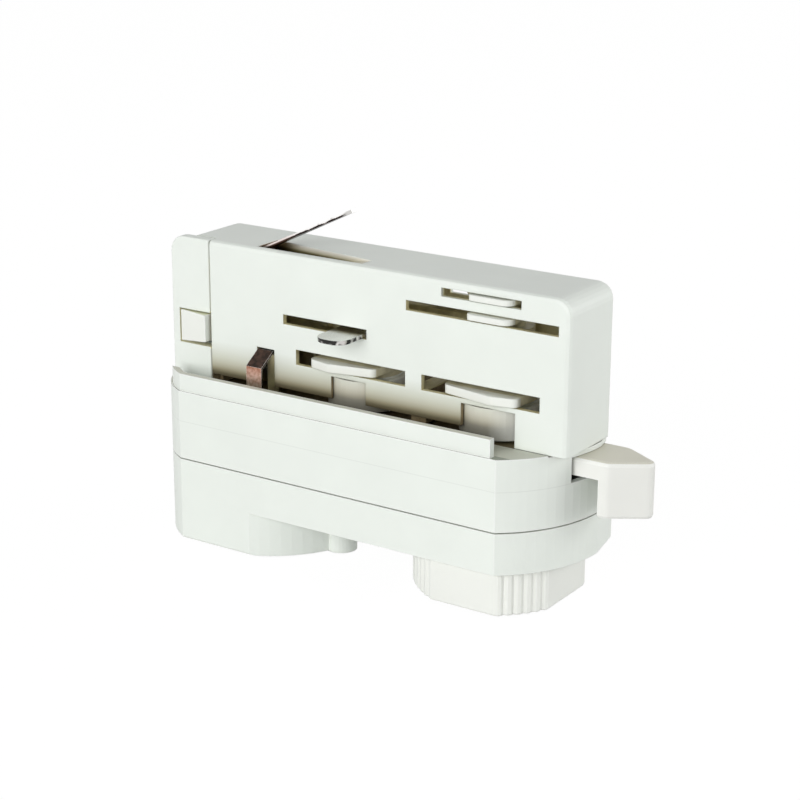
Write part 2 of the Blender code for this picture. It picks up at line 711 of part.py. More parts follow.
def rack_line(start, end, space_x):
    """Tooth line of the rack from left to right, teeth towards -Y, with a space at space_x."""
    pitch = math.pi * GEAR_MODULE
    slope = math.tan(PRESSURE_ANGLE)
    half = (pitch / 2 - GEAR_BACKLASH) / 2
    tip = half - GEAR_ADDENDUM * slope
    root = half + GEAR_DEDENDUM * slope
    tip_y = PITCH_RADIUS - GEAR_ADDENDUM
    root_y = PITCH_RADIUS + GEAR_DEDENDUM
    first = math.ceil((start + root - space_x) / pitch - 0.5)
    last = math.floor((end - root - space_x) / pitch - 0.5)
    points = []
    for tooth in range(first, last + 1):
        middle = space_x + (tooth + 0.5) * pitch
        points += [(middle - root, root_y), (middle - tip, tip_y),
                   (middle + tip, tip_y), (middle + root, root_y)]
    return points


def make_rack_bar():
    """Z-shaped bar: behind the right pinion, in front of the left one, joined by a slanting web."""
    back = PITCH_RADIUS + GEAR_DEDENDUM + RACK_BACK
    root = PITCH_RADIUS + GEAR_DEDENDUM
    middle_x = (LEFT_AXIS_X + RIGHT_AXIS_X) / 2 + RACK_TRAVEL / 2
    right_start = RIGHT_AXIS_X - RACK_ENGAGEMENT
    right_end = RIGHT_AXIS_X + RACK_TRAVEL + RACK_ENGAGEMENT
    left_start = LEFT_AXIS_X - RACK_ENGAGEMENT
    left_end = LEFT_AXIS_X + RACK_TRAVEL + RACK_ENGAGEMENT
    web = RACK_WEB
    lean = root / 2
    right = rack_line(right_start, right_end, RIGHT_AXIS_X)
    left = [(x, -y) for x, y in reversed(rack_line(left_start, left_end, LEFT_AXIS_X))]
    outline = [(middle_x - lean + web / 2, -back), (middle_x + lean + web / 2, root)]
    outline += right
    outline += [(right_end, root), (right_end, back), (middle_x + lean - web / 2, back),
                (middle_x - lean - web / 2, -root)]
    outline += left
    outline += [(left_start, -root), (left_start, -back)]
    return slab("rack_bar", outline, (GEAR_BOTTOM + GAP, GEAR_TOP - GAP))


def make_left_pinion():
    gear = slab("left_pinion", moved(pinion_outline(), LEFT_AXIS_X, 0), (GEAR_BOTTOM, GEAR_TOP))
    collar = rod("left_pinion_collar", LEFT_AXIS_X, 0, PITCH_RADIUS - GEAR_DEDENDUM / 2,
                 (GEAR_TOP - GAP / 2, LEVER_TOP), CUTTERS, 40)
    join(gear, collar)
    cut(gear, square_hole("left_pinion_square", LEFT_AXIS_X))
    return gear


def square_hole(name, axis_x):
    half = DRIVE_SQUARE / 2 + HOLE_GAP
    return block(name, (axis_x - half, axis_x + half), (-half, half),
                 (GEAR_BOTTOM - SKIN, LEVER_TOP + SKIN), CUTTERS)


def lever_plan():
    """Outline of the arm from above, measured from the lever's axis."""
    shoulder = LEVER_GRIP_RADIUS + SKIN
    neck = LEVER_BACK * 0.7
    return rounded([
        (0, -LEVER_FRONT, 0),
        (shoulder + LEVER_TIP_Y / 4, -LEVER_FRONT, LEVER_EDGE * 3),
        (LEVER_REACH, LEVER_TIP_Y, LEVER_EDGE * 2),
        (shoulder, LEVER_BACK, LEVER_EDGE * 4),
        (LEVER_GRIP_RADIUS - LEVER_BACK / 2, LEVER_BACK, LEVER_EDGE * 2),
        (LEVER_HUB_RADIUS, neck, LEVER_EDGE * 2),
        (0, neck, 0),
    ])


def make_locking_lever():
    """Arm with its finger grip, hub and pinion in one moulding."""
    arm_low = LEVER_TOP - LEVER_GRIP_DEPTH
    lever = slab("locking_lever", lever_plan(), (arm_low, LEVER_TOP))
    lever.location = (RIGHT_AXIS_X, 0, 0)
    soften(lever, LEVER_EDGE)
    under = rod("lever_underside", RIGHT_AXIS_X, 0, LEVER_GRIP_RADIUS,
                (arm_low - SKIN, LEVER_BOTTOM), CUTTERS, 96)
    cut(lever, under)
    hub = rod("lever_hub", RIGHT_AXIS_X, 0, LEVER_HUB_RADIUS, (GEAR_TOP, LEVER_TOP), CUTTERS, 48)
    gear = slab("lever_pinion", moved(pinion_outline(), RIGHT_AXIS_X, 0),
                (GEAR_BOTTOM, GEAR_TOP + SKIN / 2), CUTTERS)
    join(lever, hub, gear)
    cut(lever, square_hole("lever_square", RIGHT_AXIS_X))
    return lever


def end_outline(ridge_x, radius):
    """Right end from the front edge to the rear edge: an arc, a sharp ridge, a taper, a corner."""
    start = math.asin((HALF_BASE + RIDGE_Y) / radius)
    front = arc(ridge_x - radius, RIDGE_Y, radius, -start, 0, 12)
    corner_x = ridge_x - BACK_TAPER * (HALF_BASE - RIDGE_Y)
    corner = rounded([
        (ridge_x, RIDGE_Y, 0),
        (corner_x, HALF_BASE, BACK_CORNER_RADIUS),
        (corner_x - 3 * BACK_CORNER_RADIUS, HALF_BASE, 0),
    ])
    return front + corner[1:-1]


def base_outline():
    """Base from above, anticlockwise: the right end, then the rounded left end."""
    span = math.asin(HALF_BASE / LEFT_END_RADIUS)
    left = arc(LEFT_CENTRE_X, 0, LEFT_END_RADIUS, math.pi - span, math.pi + span, 24)
    return end_outline(RIDGE_X, RIGHT_END_RADIUS) + left


def make_base_body():
    base = slab("base_body", base_outline(), (-BASE_DEPTH, 0))
    hollow = slab("base_hollow", inset(base_outline(), BASE_WALL), (-BASE_DEPTH - SKIN, -BASE_ROOF), CUTTERS)
    cut(base, hollow)
    join(base, make_rail())
    seat = block("housing_seat", (PLATE_LEFT - GAP / 2, HOUSING_RIGHT + GAP),
                 (-HALF_HOUSING - GAP, HALF_HOUSING + GAP), (-HOUSING_SEAT_DEPTH, SKIN), CUTTERS)
    cut(base, seat)
    for side, y in (("front", -COVER_SCREW_Y), ("rear", COVER_SCREW_Y)):
        post = rod(f"base_post_{side}", COVER_SCREW_X, y, SCREW_SHANK_RADIUS + POST_WALL,
                   (-BASE_DEPTH, -BASE_ROOF / 2), CUTTERS)
        hole = rod(f"base_post_hole_{side}", COVER_SCREW_X, y, SCREW_SHANK_RADIUS + HOLE_GAP,
                   (-BASE_DEPTH - SKIN, cover_screw_top() + SKIN), CUTTERS, 16)
        join(base, post)
        cut(base, hole)
    for side, x in (("left", LEFT_AXIS_X), ("right", RIGHT_AXIS_X)):
        cut(base, rod(f"rotor_bearing_{side}", x, 0, NECK_RADIUS + RUN_GAP, (-SKIN * 2, SKIN), CUTTERS, 40))
    for number, x in enumerate(housing_screw_places()):
        cut(base, rod(f"base_screw_hole_{number}", x, 0, SCREW_SHANK_RADIUS + HOLE_GAP,
                      (-SKIN * 2, SKIN), CUTTERS, 16))
    cut_feed_openings(base)
    cut(base, make_lever_slot(), make_roof_corner())
    return base


def make_rail():
    """Rail on the front edge of the base, which turns a little way round the left end."""
    rail = slab("base_rail", inset(base_outline(), RAIL_INSET), (-BASE_ROOF / 2, RAIL_HEIGHT), CUTTERS)
    inner = slab("base_rail_inner", inset(base_outline(), RAIL_INSET + RAIL_THICKNESS),
                 (-SKIN, RAIL_HEIGHT + SKIN), CUTTERS)
    rear = block("base_rail_rear", (BASE_LEFT - SKIN, RIDGE_X + SKIN),
                 (RAIL_END_Y, HALF_BASE + SKIN), (-SKIN, RAIL_HEIGHT + SKIN), CUTTERS)
    right = block("base_rail_right", (RAIL_RIGHT, RIDGE_X + SKIN),
                  (-HALF_BASE - SKIN, 0), (-SKIN, RAIL_HEIGHT + SKIN), CUTTERS)
    cut(rail, inner, rear, right)
    return rail


def cut_feed_openings(base):
    """Openings in the roof of the base for the strips that rise into the housing."""
    neutral = block("neutral_opening", (NEUTRAL_FEED_X - SKIN, NEUTRAL_FEED_X + SKIN),
                    (-STRIP_WIDTH / 2 - GAP, STRIP_WIDTH / 2 + GAP), (-SKIN * 2, SKIN), CUTTERS)
    low, high = phase_feed_range()
    phase = block("phase_opening", (PHASE_FEED_X - SKIN, PHASE_FEED_X + SKIN),
                  (low - GAP, high + GAP), (-SKIN * 2, SKIN), CUTTERS)
    front, back = earth_feed_range()
    earth = block("earth_opening", (EARTH_X - EARTH_WIDTH / 2 - GAP, EARTH_X + EARTH_WIDTH / 2 + GAP),
                  (front - GAP, back + GAP), (-SKIN * 2, SKIN), CUTTERS)
    cut(base, neutral, phase, earth)


def make_lever_slot():
    """L-shaped cutter through the right end wall and the rear wall, where the lever swings."""
    inside = RIDGE_X - RIGHT_END_RADIUS / 2
    left = RIGHT_AXIS_X - LEVER_BACK - LEVER_SLOT_MARGIN
    outside = RIDGE_X + SKIN
    rear = HALF_BASE + SKIN
    inner_rear = HALF_BASE - BASE_WALL - SKIN
    outline = [(inside, LEVER_SLOT_START), (outside, LEVER_SLOT_START), (outside, rear),
               (left, rear), (left, inner_rear), (inside, inner_rear)]
    top = LEVER_TOP + LEVER_TOP_GAP / 3
    return slab("lever_slot", outline, (top - LEVER_SLOT_HEIGHT, top), CUTTERS)


def make_roof_corner():
    """Cutter for the roof's rear right corner above the lever slot, where the lever swings out."""
    outside = RIDGE_X + SKIN
    rear = HALF_BASE + SKIN
    outline = [(RIDGE_X, ROOF_CORNER_Y), (outside, ROOF_CORNER_Y), (outside, rear), (ROOF_CORNER_X, rear)]
    return slab("roof_corner", outline, (LEVER_TOP - LEVER_SLOT_HEIGHT / 2, SKIN), CUTTERS)


def make_lower_cover():
    """Tray that closes the base, with the lamp's boss under its left end."""
    cover = slab("lower_cover", base_outline(), (BOSS_BOTTOM, COVER_TOP + 2 * COVER_EDGE))
    soften(cover, COVER_EDGE)
    far = RIDGE_X + 2 * SKIN
    side = HALF_BASE + 2 * SKIN
    trim = block("cover_trim", (BASE_LEFT - SKIN, far), (-side, side), (COVER_TOP, COVER_TOP + 3 * COVER_EDGE),
                 CUTTERS)
    end = end_outline(BOSS_RIDGE_X, BOSS_END_RADIUS)
    step = [(far, -side), (far, side), (end[-1][0], side)]
    step += list(reversed(end)) + [(end[0][0], -side)]
    under = slab("cover_step", step, (BOSS_BOTTOM - SKIN, COVER_BOTTOM), CUTTERS)
    hollow = slab("cover_hollow", inset(base_outline(), BASE_WALL), (COVER_INSIDE, COVER_TOP + SKIN), CUTTERS)
    cut(cover, trim, under, hollow)
    ear = rod("cover_ear", EAR_X, EAR_Y, EAR_RADIUS, (BOSS_BOTTOM - EAR_DROP, COVER_INSIDE - GAP), CUTTERS)
    join(cover, ear)
    add_cover_posts(cover)
    stem = rod("stem_hole", LEFT_CENTRE_X, 0, STEM_RADIUS, (BOSS_BOTTOM - SKIN, COVER_INSIDE + SKIN), CUTTERS, 40)
    seat = rod("nut_seat", LEFT_CENTRE_X, 0, NUT_FLATS / math.sqrt(3) + HOLE_GAP,
               (COVER_INSIDE - NUT_SEAT_DEPTH, COVER_INSIDE + SKIN), CUTTERS, 6)
    shaft = rod("selector_hole", RIGHT_AXIS_X, 0, BORE_RADIUS,
                (COVER_BOTTOM - SKIN, GEAR_BOTTOM + SKIN), CUTTERS, 32)
    cut(cover, stem, seat, shaft)
    return cover


def add_cover_posts(cover):
    """Posts under the two pinions, guides behind the rack, and bosses for the two screws."""
    floor = COVER_INSIDE - COVER_FLOOR / 2
    for side, x in (("left", LEFT_AXIS_X), ("right", RIGHT_AXIS_X)):
        post_top = GEAR_BOTTOM - SKIN - GAP
        join(cover, rod(f"bearing_post_{side}", x, 0, NECK_RADIUS, (floor, post_top), CUTTERS, 40))
    back = PITCH_RADIUS + GEAR_DEDENDUM + RACK_BACK + GAP
    thick = BASE_WALL
    rib_top = GEAR_TOP - GAP
    rib_end = COVER_SCREW_X - SCREW_SHANK_RADIUS - POST_WALL - 2 * GAP
    front_rib = block("rack_guide_front", (LEFT_AXIS_X - RACK_TRAVEL, rib_end),
                      (-back - thick, -back), (floor, rib_top), CUTTERS)
    rear_rib = block("rack_guide_rear", (RIGHT_AXIS_X - RACK_TRAVEL / 2, RIGHT_AXIS_X + RACK_TRAVEL),
                     (back, back + thick), (floor, rib_top), CUTTERS)
    rest = GEAR_BOTTOM
    front_rest = block("rack_rest_front", (LEFT_AXIS_X - thick, LEFT_AXIS_X + RACK_TRAVEL / 2),
                       (-back - thick / 2, -back + thick), (floor, rest), CUTTERS)
    rear_rest = block("rack_rest_rear", (RIGHT_AXIS_X - thick, RIGHT_AXIS_X + RACK_TRAVEL / 2),
                      (back - thick, back + thick / 2), (floor, rest), CUTTERS)
    join(cover, front_rib, rear_rib, front_rest, rear_rest)
    for side, y in (("front", -COVER_SCREW_Y), ("rear", COVER_SCREW_Y)):
        boss = rod(f"cover_boss_{side}", COVER_SCREW_X, y, SCREW_HEAD_RADIUS + POST_WALL,
                   (floor, COVER_TOP), CUTTERS)
        hole = rod(f"cover_screw_hole_{side}", COVER_SCREW_X, y, SCREW_SHANK_RADIUS + HOLE_GAP,
                   (COVER_BOTTOM - SKIN, COVER_TOP + SKIN), CUTTERS, 16)
        head = rod(f"cover_head_hole_{side}", COVER_SCREW_X, y, SCREW_HEAD_RADIUS + HOLE_GAP,
                   (COVER_BOTTOM - SKIN, cover_head_top() + GAP), CUTTERS)
        join(cover, boss)
        cut(cover, hole, head)


def cover_head_top():
    return COVER_BOTTOM + SCREW_HEAD_HEIGHT + 2 * GAP


def cover_screw_top():
    return cover_head_top() + COVER_SCREW_LENGTH


def make_screw(name, x, y, head_bottom, length, head_radius, shank_radius):
    """Pan-head screw seen from below: the head at the bottom, the shank upwards, a drive slot."""
    head_top = head_bottom + SCREW_HEAD_HEIGHT
    top = head_top + length
    screw = turned(name, x, y, [
        (0, top),
        (shank_radius * 0.7, top),
        (shank_radius, top - shank_radius / 2),
        (shank_radius, head_top),
        (head_radius, head_top),
        (head_radius, head_bottom + SCREW_HEAD_HEIGHT / 3),
        (head_radius * 0.8, head_bottom),
        (0, head_bottom),
    ], steps=24)
    drive = block(f"{name}_drive", (x - head_radius * 1.2, x + head_radius * 1.2),
                  (y - head_radius / 6, y + head_radius / 6),
                  (head_bottom - SKIN, head_bottom + SCREW_HEAD_HEIGHT / 2), CUTTERS)
    cut(screw, drive)
    return screw


def make_screws():
    screws = []
    for side, y in (("front", -COVER_SCREW_Y), ("rear", COVER_SCREW_Y)):
        screws.append(make_screw(f"cover_screw_{side}", COVER_SCREW_X, y,
                                 cover_head_top() - SCREW_HEAD_HEIGHT, COVER_SCREW_LENGTH,
                                 SCREW_HEAD_RADIUS, SCREW_SHANK_RADIUS))
    low = -BASE_ROOF - GAP - SCREW_HEAD_HEIGHT
    for side, x in zip(("left", "middle"), housing_screw_places()):
        screws.append(make_screw(f"housing_screw_{side}", x, 0, low, HOUSING_SCREW_LENGTH,
                                 SCREW_HEAD_RADIUS, SCREW_SHANK_RADIUS))
    return screws


def dial_outline():
    """Square with cut corners; each cut corner bulges and carries a row of finger ribs."""
    start = Vector((DIAL_HALF, DIAL_FLAT_END))
    along = Vector((-DIAL_FLAT_START, DIAL_HALF)) - start
    out = Vector((along.y, -along.x)).normalized()
    steps = DIAL_RIBS * 3
    points = []
    for quarter in range(4):
        turn = Matrix.Rotation(math.pi / 2 * quarter, 2)
        for index in range(steps + 1):
            share = index / steps
            bulge = DIAL_CORNER_BULGE * 4 * share * (1 - share)
            rib = DIAL_RIB_DEPTH * abs(math.sin(math.pi * share * DIAL_RIBS))
            points.append(tuple(turn @ (start + along * share + out * (bulge + rib))))
    return points


def make_selector_dial():
    dial = slab("selector_dial", dial_outline(), (DIAL_BOTTOM, DIAL_TOP))
    dial.location = (RIGHT_AXIS_X, 0, 0)
    soften(dial, DIAL_EDGE)
    bore = rod("dial_bore", RIGHT_AXIS_X, 0, SHAFT_RADIUS + HOLE_GAP,
               (DIAL_TOP - DIAL_HEIGHT * 0.7, DIAL_TOP + SKIN), CUTTERS, 32)
    well = rod("dial_screw_well", RIGHT_AXIS_X, 0, SCREW_HEAD_RADIUS + HOLE_GAP,
               (DIAL_BOTTOM - SKIN, DIAL_BOTTOM + SCREW_HEAD_HEIGHT + GAP), CUTTERS)
    grip = block("dial_grip", (RIGHT_AXIS_X + SCREW_HEAD_RADIUS * 2, RIGHT_AXIS_X + DIAL_HALF * 0.8),
                 (-SKIN, SKIN), (DIAL_BOTTOM - SKIN, DIAL_BOTTOM + SKIN), CUTTERS)
    shank = rod("dial_screw_hole", RIGHT_AXIS_X, 0, SCREW_SHANK_RADIUS + HOLE_GAP,
                (DIAL_BOTTOM - 2 * SKIN, DIAL_TOP - DIAL_HEIGHT / 2), CUTTERS, 24)
    cut(dial, bore, well, grip, shank)
    return dial


def make_selector_shaft():
    bottom = DIAL_TOP - DIAL_HEIGHT * 0.7 + GAP
    top = CAM_UPPER_LEVEL
    return rod("selector_shaft", RIGHT_AXIS_X, 0, SHAFT_RADIUS, (bottom, top))


def nose_outline(reach):
    """Nose of the selector cam towards the front, about the shaft."""
    return rounded([
        (CAM_NOSE_START, 0, 0),
        (CAM_NOSE_START, -reach, CAM_NOSE_ROUNDING / 2),
        (CAM_NOSE_END, -reach, CAM_NOSE_ROUNDING),
        (CAM_NOSE_END, 0, 0),
    ])


def make_selector_cam():
    """Hub with a disc, the collector ring's collar and two noses, open below for the shaft."""
    top = CAM_UPPER_LEVEL + CAM_PLATE
    ring_top = RING_LEVEL + RING_THICKNESS
    bore = SHAFT_RADIUS + HOLE_GAP
    cam = turned("selector_cam", RIGHT_AXIS_X, 0, [
        (0, top),
        (DRUM_RADIUS, top),
        (DRUM_RADIUS, CAM_UPPER_LEVEL),
        (CAM_HUB_RADIUS, CAM_UPPER_LEVEL),
        (CAM_HUB_RADIUS, ring_top),
        (RING_RADIUS, ring_top),
        (RING_RADIUS, RING_LEVEL),
        (CAM_HUB_RADIUS, RING_LEVEL),
        (CAM_HUB_RADIUS, CAM_HUB_BOTTOM),
        (0, CAM_HUB_BOTTOM),
    ])
    lower = slab("cam_lower_nose", moved(nose_outline(CAM_LOWER_NOSE), RIGHT_AXIS_X, 0),
                 (CAM_LOWER_LEVEL, CAM_LOWER_LEVEL + CAM_PLATE), CUTTERS)
    upper = slab("cam_upper_nose", moved(nose_outline(CAM_UPPER_NOSE), RIGHT_AXIS_X, 0),
                 (CAM_UPPER_LEVEL, top), CUTTERS)
    seat = block("cam_tongue_seat", (RIGHT_AXIS_X + SHAFT_RADIUS, RIGHT_AXIS_X + PHASE_REACH),
                 (-PHASE_WIDTH / 2 - GAP, PHASE_WIDTH / 2 + GAP),
                 (phase_low() - GAP, phase_low() + TONGUE_THICKNESS + GAP), CUTTERS)
    shaft = rod("cam_bore", RIGHT_AXIS_X, 0, bore, (CAM_HUB_BOTTOM - SKIN, CAM_UPPER_LEVEL + GAP), CUTTERS)
    join(cam, lower, upper)
    cut(cam, seat, shaft)
    return cam


def phase_low():
    return CAM_LOWER_LEVEL + (CAM_PLATE - TONGUE_THICKNESS) / 2


def tongue_outline(start, reach, width):
    """Contact tongue along +X with a rounded tip."""
    return rounded([
        (start, -width / 2, 0),
        (reach, -width / 2, width * 0.4),
        (reach, width / 2, width * 0.4),
        (start, width / 2, 0),
    ])


def make_phase_contact():
    plan = moved(tongue_outline(SHAFT_RADIUS + GAP, PHASE_REACH, PHASE_WIDTH), RIGHT_AXIS_X, 0)
    return slab("phase_contact", plan, (phase_low(), phase_low() + TONGUE_THICKNESS))


def make_neutral_contact():
    """Tongue towards the front with a hole for the rotor's pin."""
    outline = tongue_outline(-NEUTRAL_WIDTH / 2, NEUTRAL_REACH, NEUTRAL_WIDTH)
    plan = [(LEFT_AXIS_X + NEUTRAL_SHIFT + y, -x) for x, y in outline]
    top = NEUTRAL_LEVEL + TONGUE_THICKNESS
    tongue = slab("neutral_contact", plan, (NEUTRAL_LEVEL, top))
    hole = rod("neutral_hole", LEFT_AXIS_X, 0, NEUTRAL_PIN_RADIUS + HOLE_GAP,
               (NEUTRAL_LEVEL - SKIN, top + SKIN), CUTTERS, 24)
    cut(tongue, hole)
    return tongue


def make_neutral_washer():
    low = NEUTRAL_LEVEL + TONGUE_THICKNESS + GAP
    high = low + WASHER_THICKNESS
    inner = NEUTRAL_PIN_RADIUS + HOLE_GAP
    return turned("neutral_washer", LEFT_AXIS_X, 0, [
        (WASHER_RADIUS, high), (WASHER_RADIUS, low), (inner, low), (inner, high)], steps=28)


def strip_outline(path, thickness):
    """Bent strip's edge view: a path given a thickness, with square ends."""
    left = []
    right = []
    count = len(path)
    for index in range(count):
        here = Vector(path[index])
        ahead = (Vector(path[min(index + 1, count - 1)]) - here)
        behind = (here - Vector(path[max(index - 1, 0)]))
        ahead = ahead.normalized() if ahead.length else behind.normalized()
        behind = behind.normalized() if behind.length else ahead
        first = Vector((-behind.y, behind.x))
        middle = (first + Vector((-ahead.y, ahead.x))).normalized()
        offset = middle * (thickness / 2 / middle.dot(first))
        left.append(tuple(here + offset))
        right.append(tuple(here - offset))
    return right + list(reversed(left))


def make_earth_contact():
    """Strip that leaves the housing, slopes outwards and hangs behind the rail."""
    path = [
        (EARTH_INNER_Y, EARTH_TOP),
        (-HALF_HOUSING, EARTH_TOP),
        (-EARTH_REACH, EARTH_SHOULDER),
        (-EARTH_REACH, EARTH_FOOT),
    ]
    return slab("earth_contact", strip_outline(path, EARTH_THICKNESS),
                (EARTH_X - EARTH_WIDTH / 2, EARTH_X + EARTH_WIDTH / 2), plane="YZ")


def earth_feed_range():
    back = -BLOCK_WIDTH / 2 - GAP
    return (back - STRIP_THICKNESS, back)


def make_earth_feed():
    """Upright strip that ends under the earth contact, clear of it when it is pressed in."""
    front, back = earth_feed_range()
    slope = (EARTH_TOP - EARTH_SHOULDER) / (EARTH_REACH - HALF_HOUSING)
    run = max(0.0, EARTH_PRESS - HALF_HOUSING - front)
    top = EARTH_TOP - EARTH_THICKNESS - GAP - slope * run
    return block("earth_feed", (EARTH_X - STRIP_WIDTH / 2, EARTH_X + STRIP_WIDTH / 2),
                 (front, back), (BLOCK_BOTTOM + SKIN, top))


def phase_feed_range():
    high = HALF_CAVITY - GAP * 2
    return (high - PHASE_FEED_WIDTH, high)


def make_neutral_feed():
    level = BLOCK_TOP - BLOCK_HEIGHT / 3
    end = LEFT_AXIS_X - STUB_RADIUS - GAP
    path = [(BLOCK_END_X + GAP, level), (NEUTRAL_FEED_X, level),
            (NEUTRAL_FEED_X, NEUTRAL_FEED_LEVEL), (end, NEUTRAL_FEED_LEVEL)]
    return slab("neutral_feed", strip_outline(path, STRIP_THICKNESS),
                (-STRIP_WIDTH / 2, STRIP_WIDTH / 2), plane="XZ")


def make_phase_feed():
    """Strip along the rear wall to the collector ring on the selector cam."""
    level = RING_LEVEL + RING_THICKNESS / 2
    low, high = phase_feed_range()
    end = RIGHT_AXIS_X - math.sqrt(max(0.0, (RING_RADIUS + GAP) ** 2 - low ** 2))
    path = [(PHASE_FEED_X, BLOCK_BOTTOM + SKIN), (PHASE_FEED_X, level), (end, level)]
    return slab("phase_feed", strip_outline(path, STRIP_THICKNESS), (low, high), plane="XZ")


def make_leaf_spring():
    """Tapered leaf with a rolled eye; its origin is the eye's axis."""
    front = LEAF_FRONT_Y
    plan = [(0, front), (LEAF_LENGTH, front), (LEAF_LENGTH, front + LEAF_TIP_WIDTH),
            (0, front + LEAF_ROOT_WIDTH)]
    leaf = slab("top_leaf_spring", plan, (LEAF_EYE_RADIUS - LEAF_THICKNESS, LEAF_EYE_RADIUS))
    leaf.location = (LEAF_X, 0, leaf_axis_z())
    leaf.rotation_euler = (0, -LEAF_ANGLE, 0)
    eye = slab("leaf_eye", arc(LEAF_X, leaf_axis_z(), LEAF_EYE_RADIUS, 0, 2 * math.pi * 19 / 20, 19),
               (front, front + LEAF_ROOT_WIDTH), CUTTERS, "XZ")
    join(leaf, eye)
    return leaf


def terminal_places():
    middle = BLOCK_X + BLOCK_LENGTH / 2
    first = middle - TERMINAL_PITCH * (TERMINAL_COUNT - 1) / 2
    return [first + TERMINAL_PITCH * index for index in range(TERMINAL_COUNT)]


def make_terminal_block():
    body = block("terminal_block", (BLOCK_X, BLOCK_END_X), (-BLOCK_WIDTH / 2, BLOCK_WIDTH / 2),
                 (BLOCK_BOTTOM, BLOCK_TOP))
    soften(body, BLOCK_EDGE)
    for number, x in enumerate(terminal_places()):
        hole = rod(f"terminal_hole_{number}", x, 0, TERMINAL_SHANK_RADIUS + HOLE_GAP,
                   (BLOCK_BOTTOM - SKIN, BLOCK_TOP - BLOCK_HEIGHT / 4), CUTTERS, 16)
        entry = rod(f"terminal_entry_{number}", 0, 0, TERMINAL_HEAD_RADIUS * 0.8,
                    (-BLOCK_WIDTH / 2 - SKIN, BLOCK_WIDTH / 3), CUTTERS, 20)
        entry.rotation_euler = (-math.pi / 2, 0, 0)
        entry.location = (x, 0, BLOCK_TOP - BLOCK_HEIGHT / 2)
        cut(body, hole, entry)
    return body


def make_terminal_screws():
    low = BLOCK_BOTTOM - GAP - SCREW_HEAD_HEIGHT
    return [make_screw(f"terminal_screw_{number + 1}", x, 0, low, BLOCK_HEIGHT / 4,
                       TERMINAL_HEAD_RADIUS, TERMINAL_SHANK_RADIUS)
            for number, x in enumerate(terminal_places())]


def make_stem_nut():
    low = COVER_INSIDE - NUT_SEAT_DEPTH + GAP
    nut = rod("stem_nut", LEFT_CENTRE_X, 0, NUT_FLATS / math.sqrt(3), (low, low + NUT_THICKNESS), segments=6)
    hole = rod("nut_bore", LEFT_CENTRE_X, 0, NUT_BORE_RADIUS,
               (low - SKIN, low + NUT_THICKNESS + SKIN), CUTTERS, 40)
    cut(nut, hole)
    return nut


def make_dial_screw():
    return make_screw("dial_screw", RIGHT_AXIS_X, 0, DIAL_BOTTOM + GAP / 2, 0.0006,
                      SCREW_HEAD_RADIUS, SCREW_SHANK_RADIUS)


def finish(obj, material):
    """Bake the modifiers into the mesh, shade round faces smooth and give the part its material."""
    depsgraph = bpy.context.evaluated_depsgraph_get()
    mesh = bpy.data.meshes.new_from_object(obj.evaluated_get(depsgraph))
    obj.modifiers.clear()
    obj.data = mesh
    mesh.shade_smooth()
    mesh.set_sharp_from_angle(angle=math.radians(35))
    mesh.materials.clear()
    mesh.materials.append(material)


def main():
    clear_scene()
    cream = make_material("cream_plastic", (0.74, 0.75, 0.66), 0.55)
    light = make_material("light_grey_plastic", (0.70, 0.71, 0.69), 0.5)
    white = make_material("white_plastic", (0.86, 0.87, 0.83), 0.4)
    dark = make_material("dark_plastic", (0.10, 0.10, 0.09), 0.6)
    silver = make_material("silver_plated", (0.72, 0.72, 0.70), 0.25, 1.0)
    copper = make_material("copper_strip", (0.62, 0.40, 0.32), 0.3, 1.0)
    steel = make_material("steel", (0.55, 0.55, 0.56), 0.3, 1.0)
    parts = [
        (make_contact_housing(), cream),
        (make_latch_plate(), cream),
        (make_snap_catch(), light),
        (make_right_rotor(), white),
        (make_left_rotor(), white),
        (make_left_pinion(), light),
        (make_locking_lever(), light),
        (make_rack_bar(), dark),
        (make_base_body(), cream),
        (make_lower_cover(), cream),
        (make_selector_dial(), white),
        (make_selector_shaft(), steel),
        (make_selector_cam(), white),
        (make_phase_contact(), silver),
        (make_neutral_contact(), silver),
        (make_neutral_washer(), steel),
        (make_earth_contact(), copper),
        (make_earth_feed(), copper),
        (make_neutral_feed(), copper),
        (make_phase_feed(), copper),
        (make_leaf_spring(), steel),
        (make_terminal_block(), dark),
        (make_stem_nut(), steel),
        (make_dial_screw(), steel),
    ]
    parts += [(screw, steel) for screw in make_screws() + make_terminal_screws()]
    bpy.context.view_layer.update()
    for obj, material in parts:
        finish(obj, material)


main()
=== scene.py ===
import math

import bpy
from mathutils import Matrix, Vector


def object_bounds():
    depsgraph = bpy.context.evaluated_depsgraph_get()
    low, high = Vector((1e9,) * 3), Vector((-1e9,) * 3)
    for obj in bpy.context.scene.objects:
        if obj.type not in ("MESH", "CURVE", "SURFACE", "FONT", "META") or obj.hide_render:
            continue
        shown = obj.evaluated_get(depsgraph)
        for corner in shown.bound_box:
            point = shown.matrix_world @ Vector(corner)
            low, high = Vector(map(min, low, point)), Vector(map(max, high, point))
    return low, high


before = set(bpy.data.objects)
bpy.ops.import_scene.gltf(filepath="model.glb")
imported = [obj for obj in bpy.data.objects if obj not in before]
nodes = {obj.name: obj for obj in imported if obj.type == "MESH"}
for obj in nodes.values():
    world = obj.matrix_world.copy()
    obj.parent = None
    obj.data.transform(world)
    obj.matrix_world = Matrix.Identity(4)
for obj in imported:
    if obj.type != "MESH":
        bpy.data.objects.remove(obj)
cad_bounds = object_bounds()

X, Y, Z = range(3)

# Camera, solved from the photograph
AZIMUTH = math.radians(33.611)
ELEVATION = math.radians(17.822)
ROLL = math.radians(0.212)
DISTANCE = 0.426226
SHIFT_RIGHT = 0.005377
SHIFT_UP = 0.000515
FOCAL_PIXELS = 2010.9
CENTRE_X = -0.0005
PICTURE_PIXELS = 800
SENSOR_WIDTH = 36.0

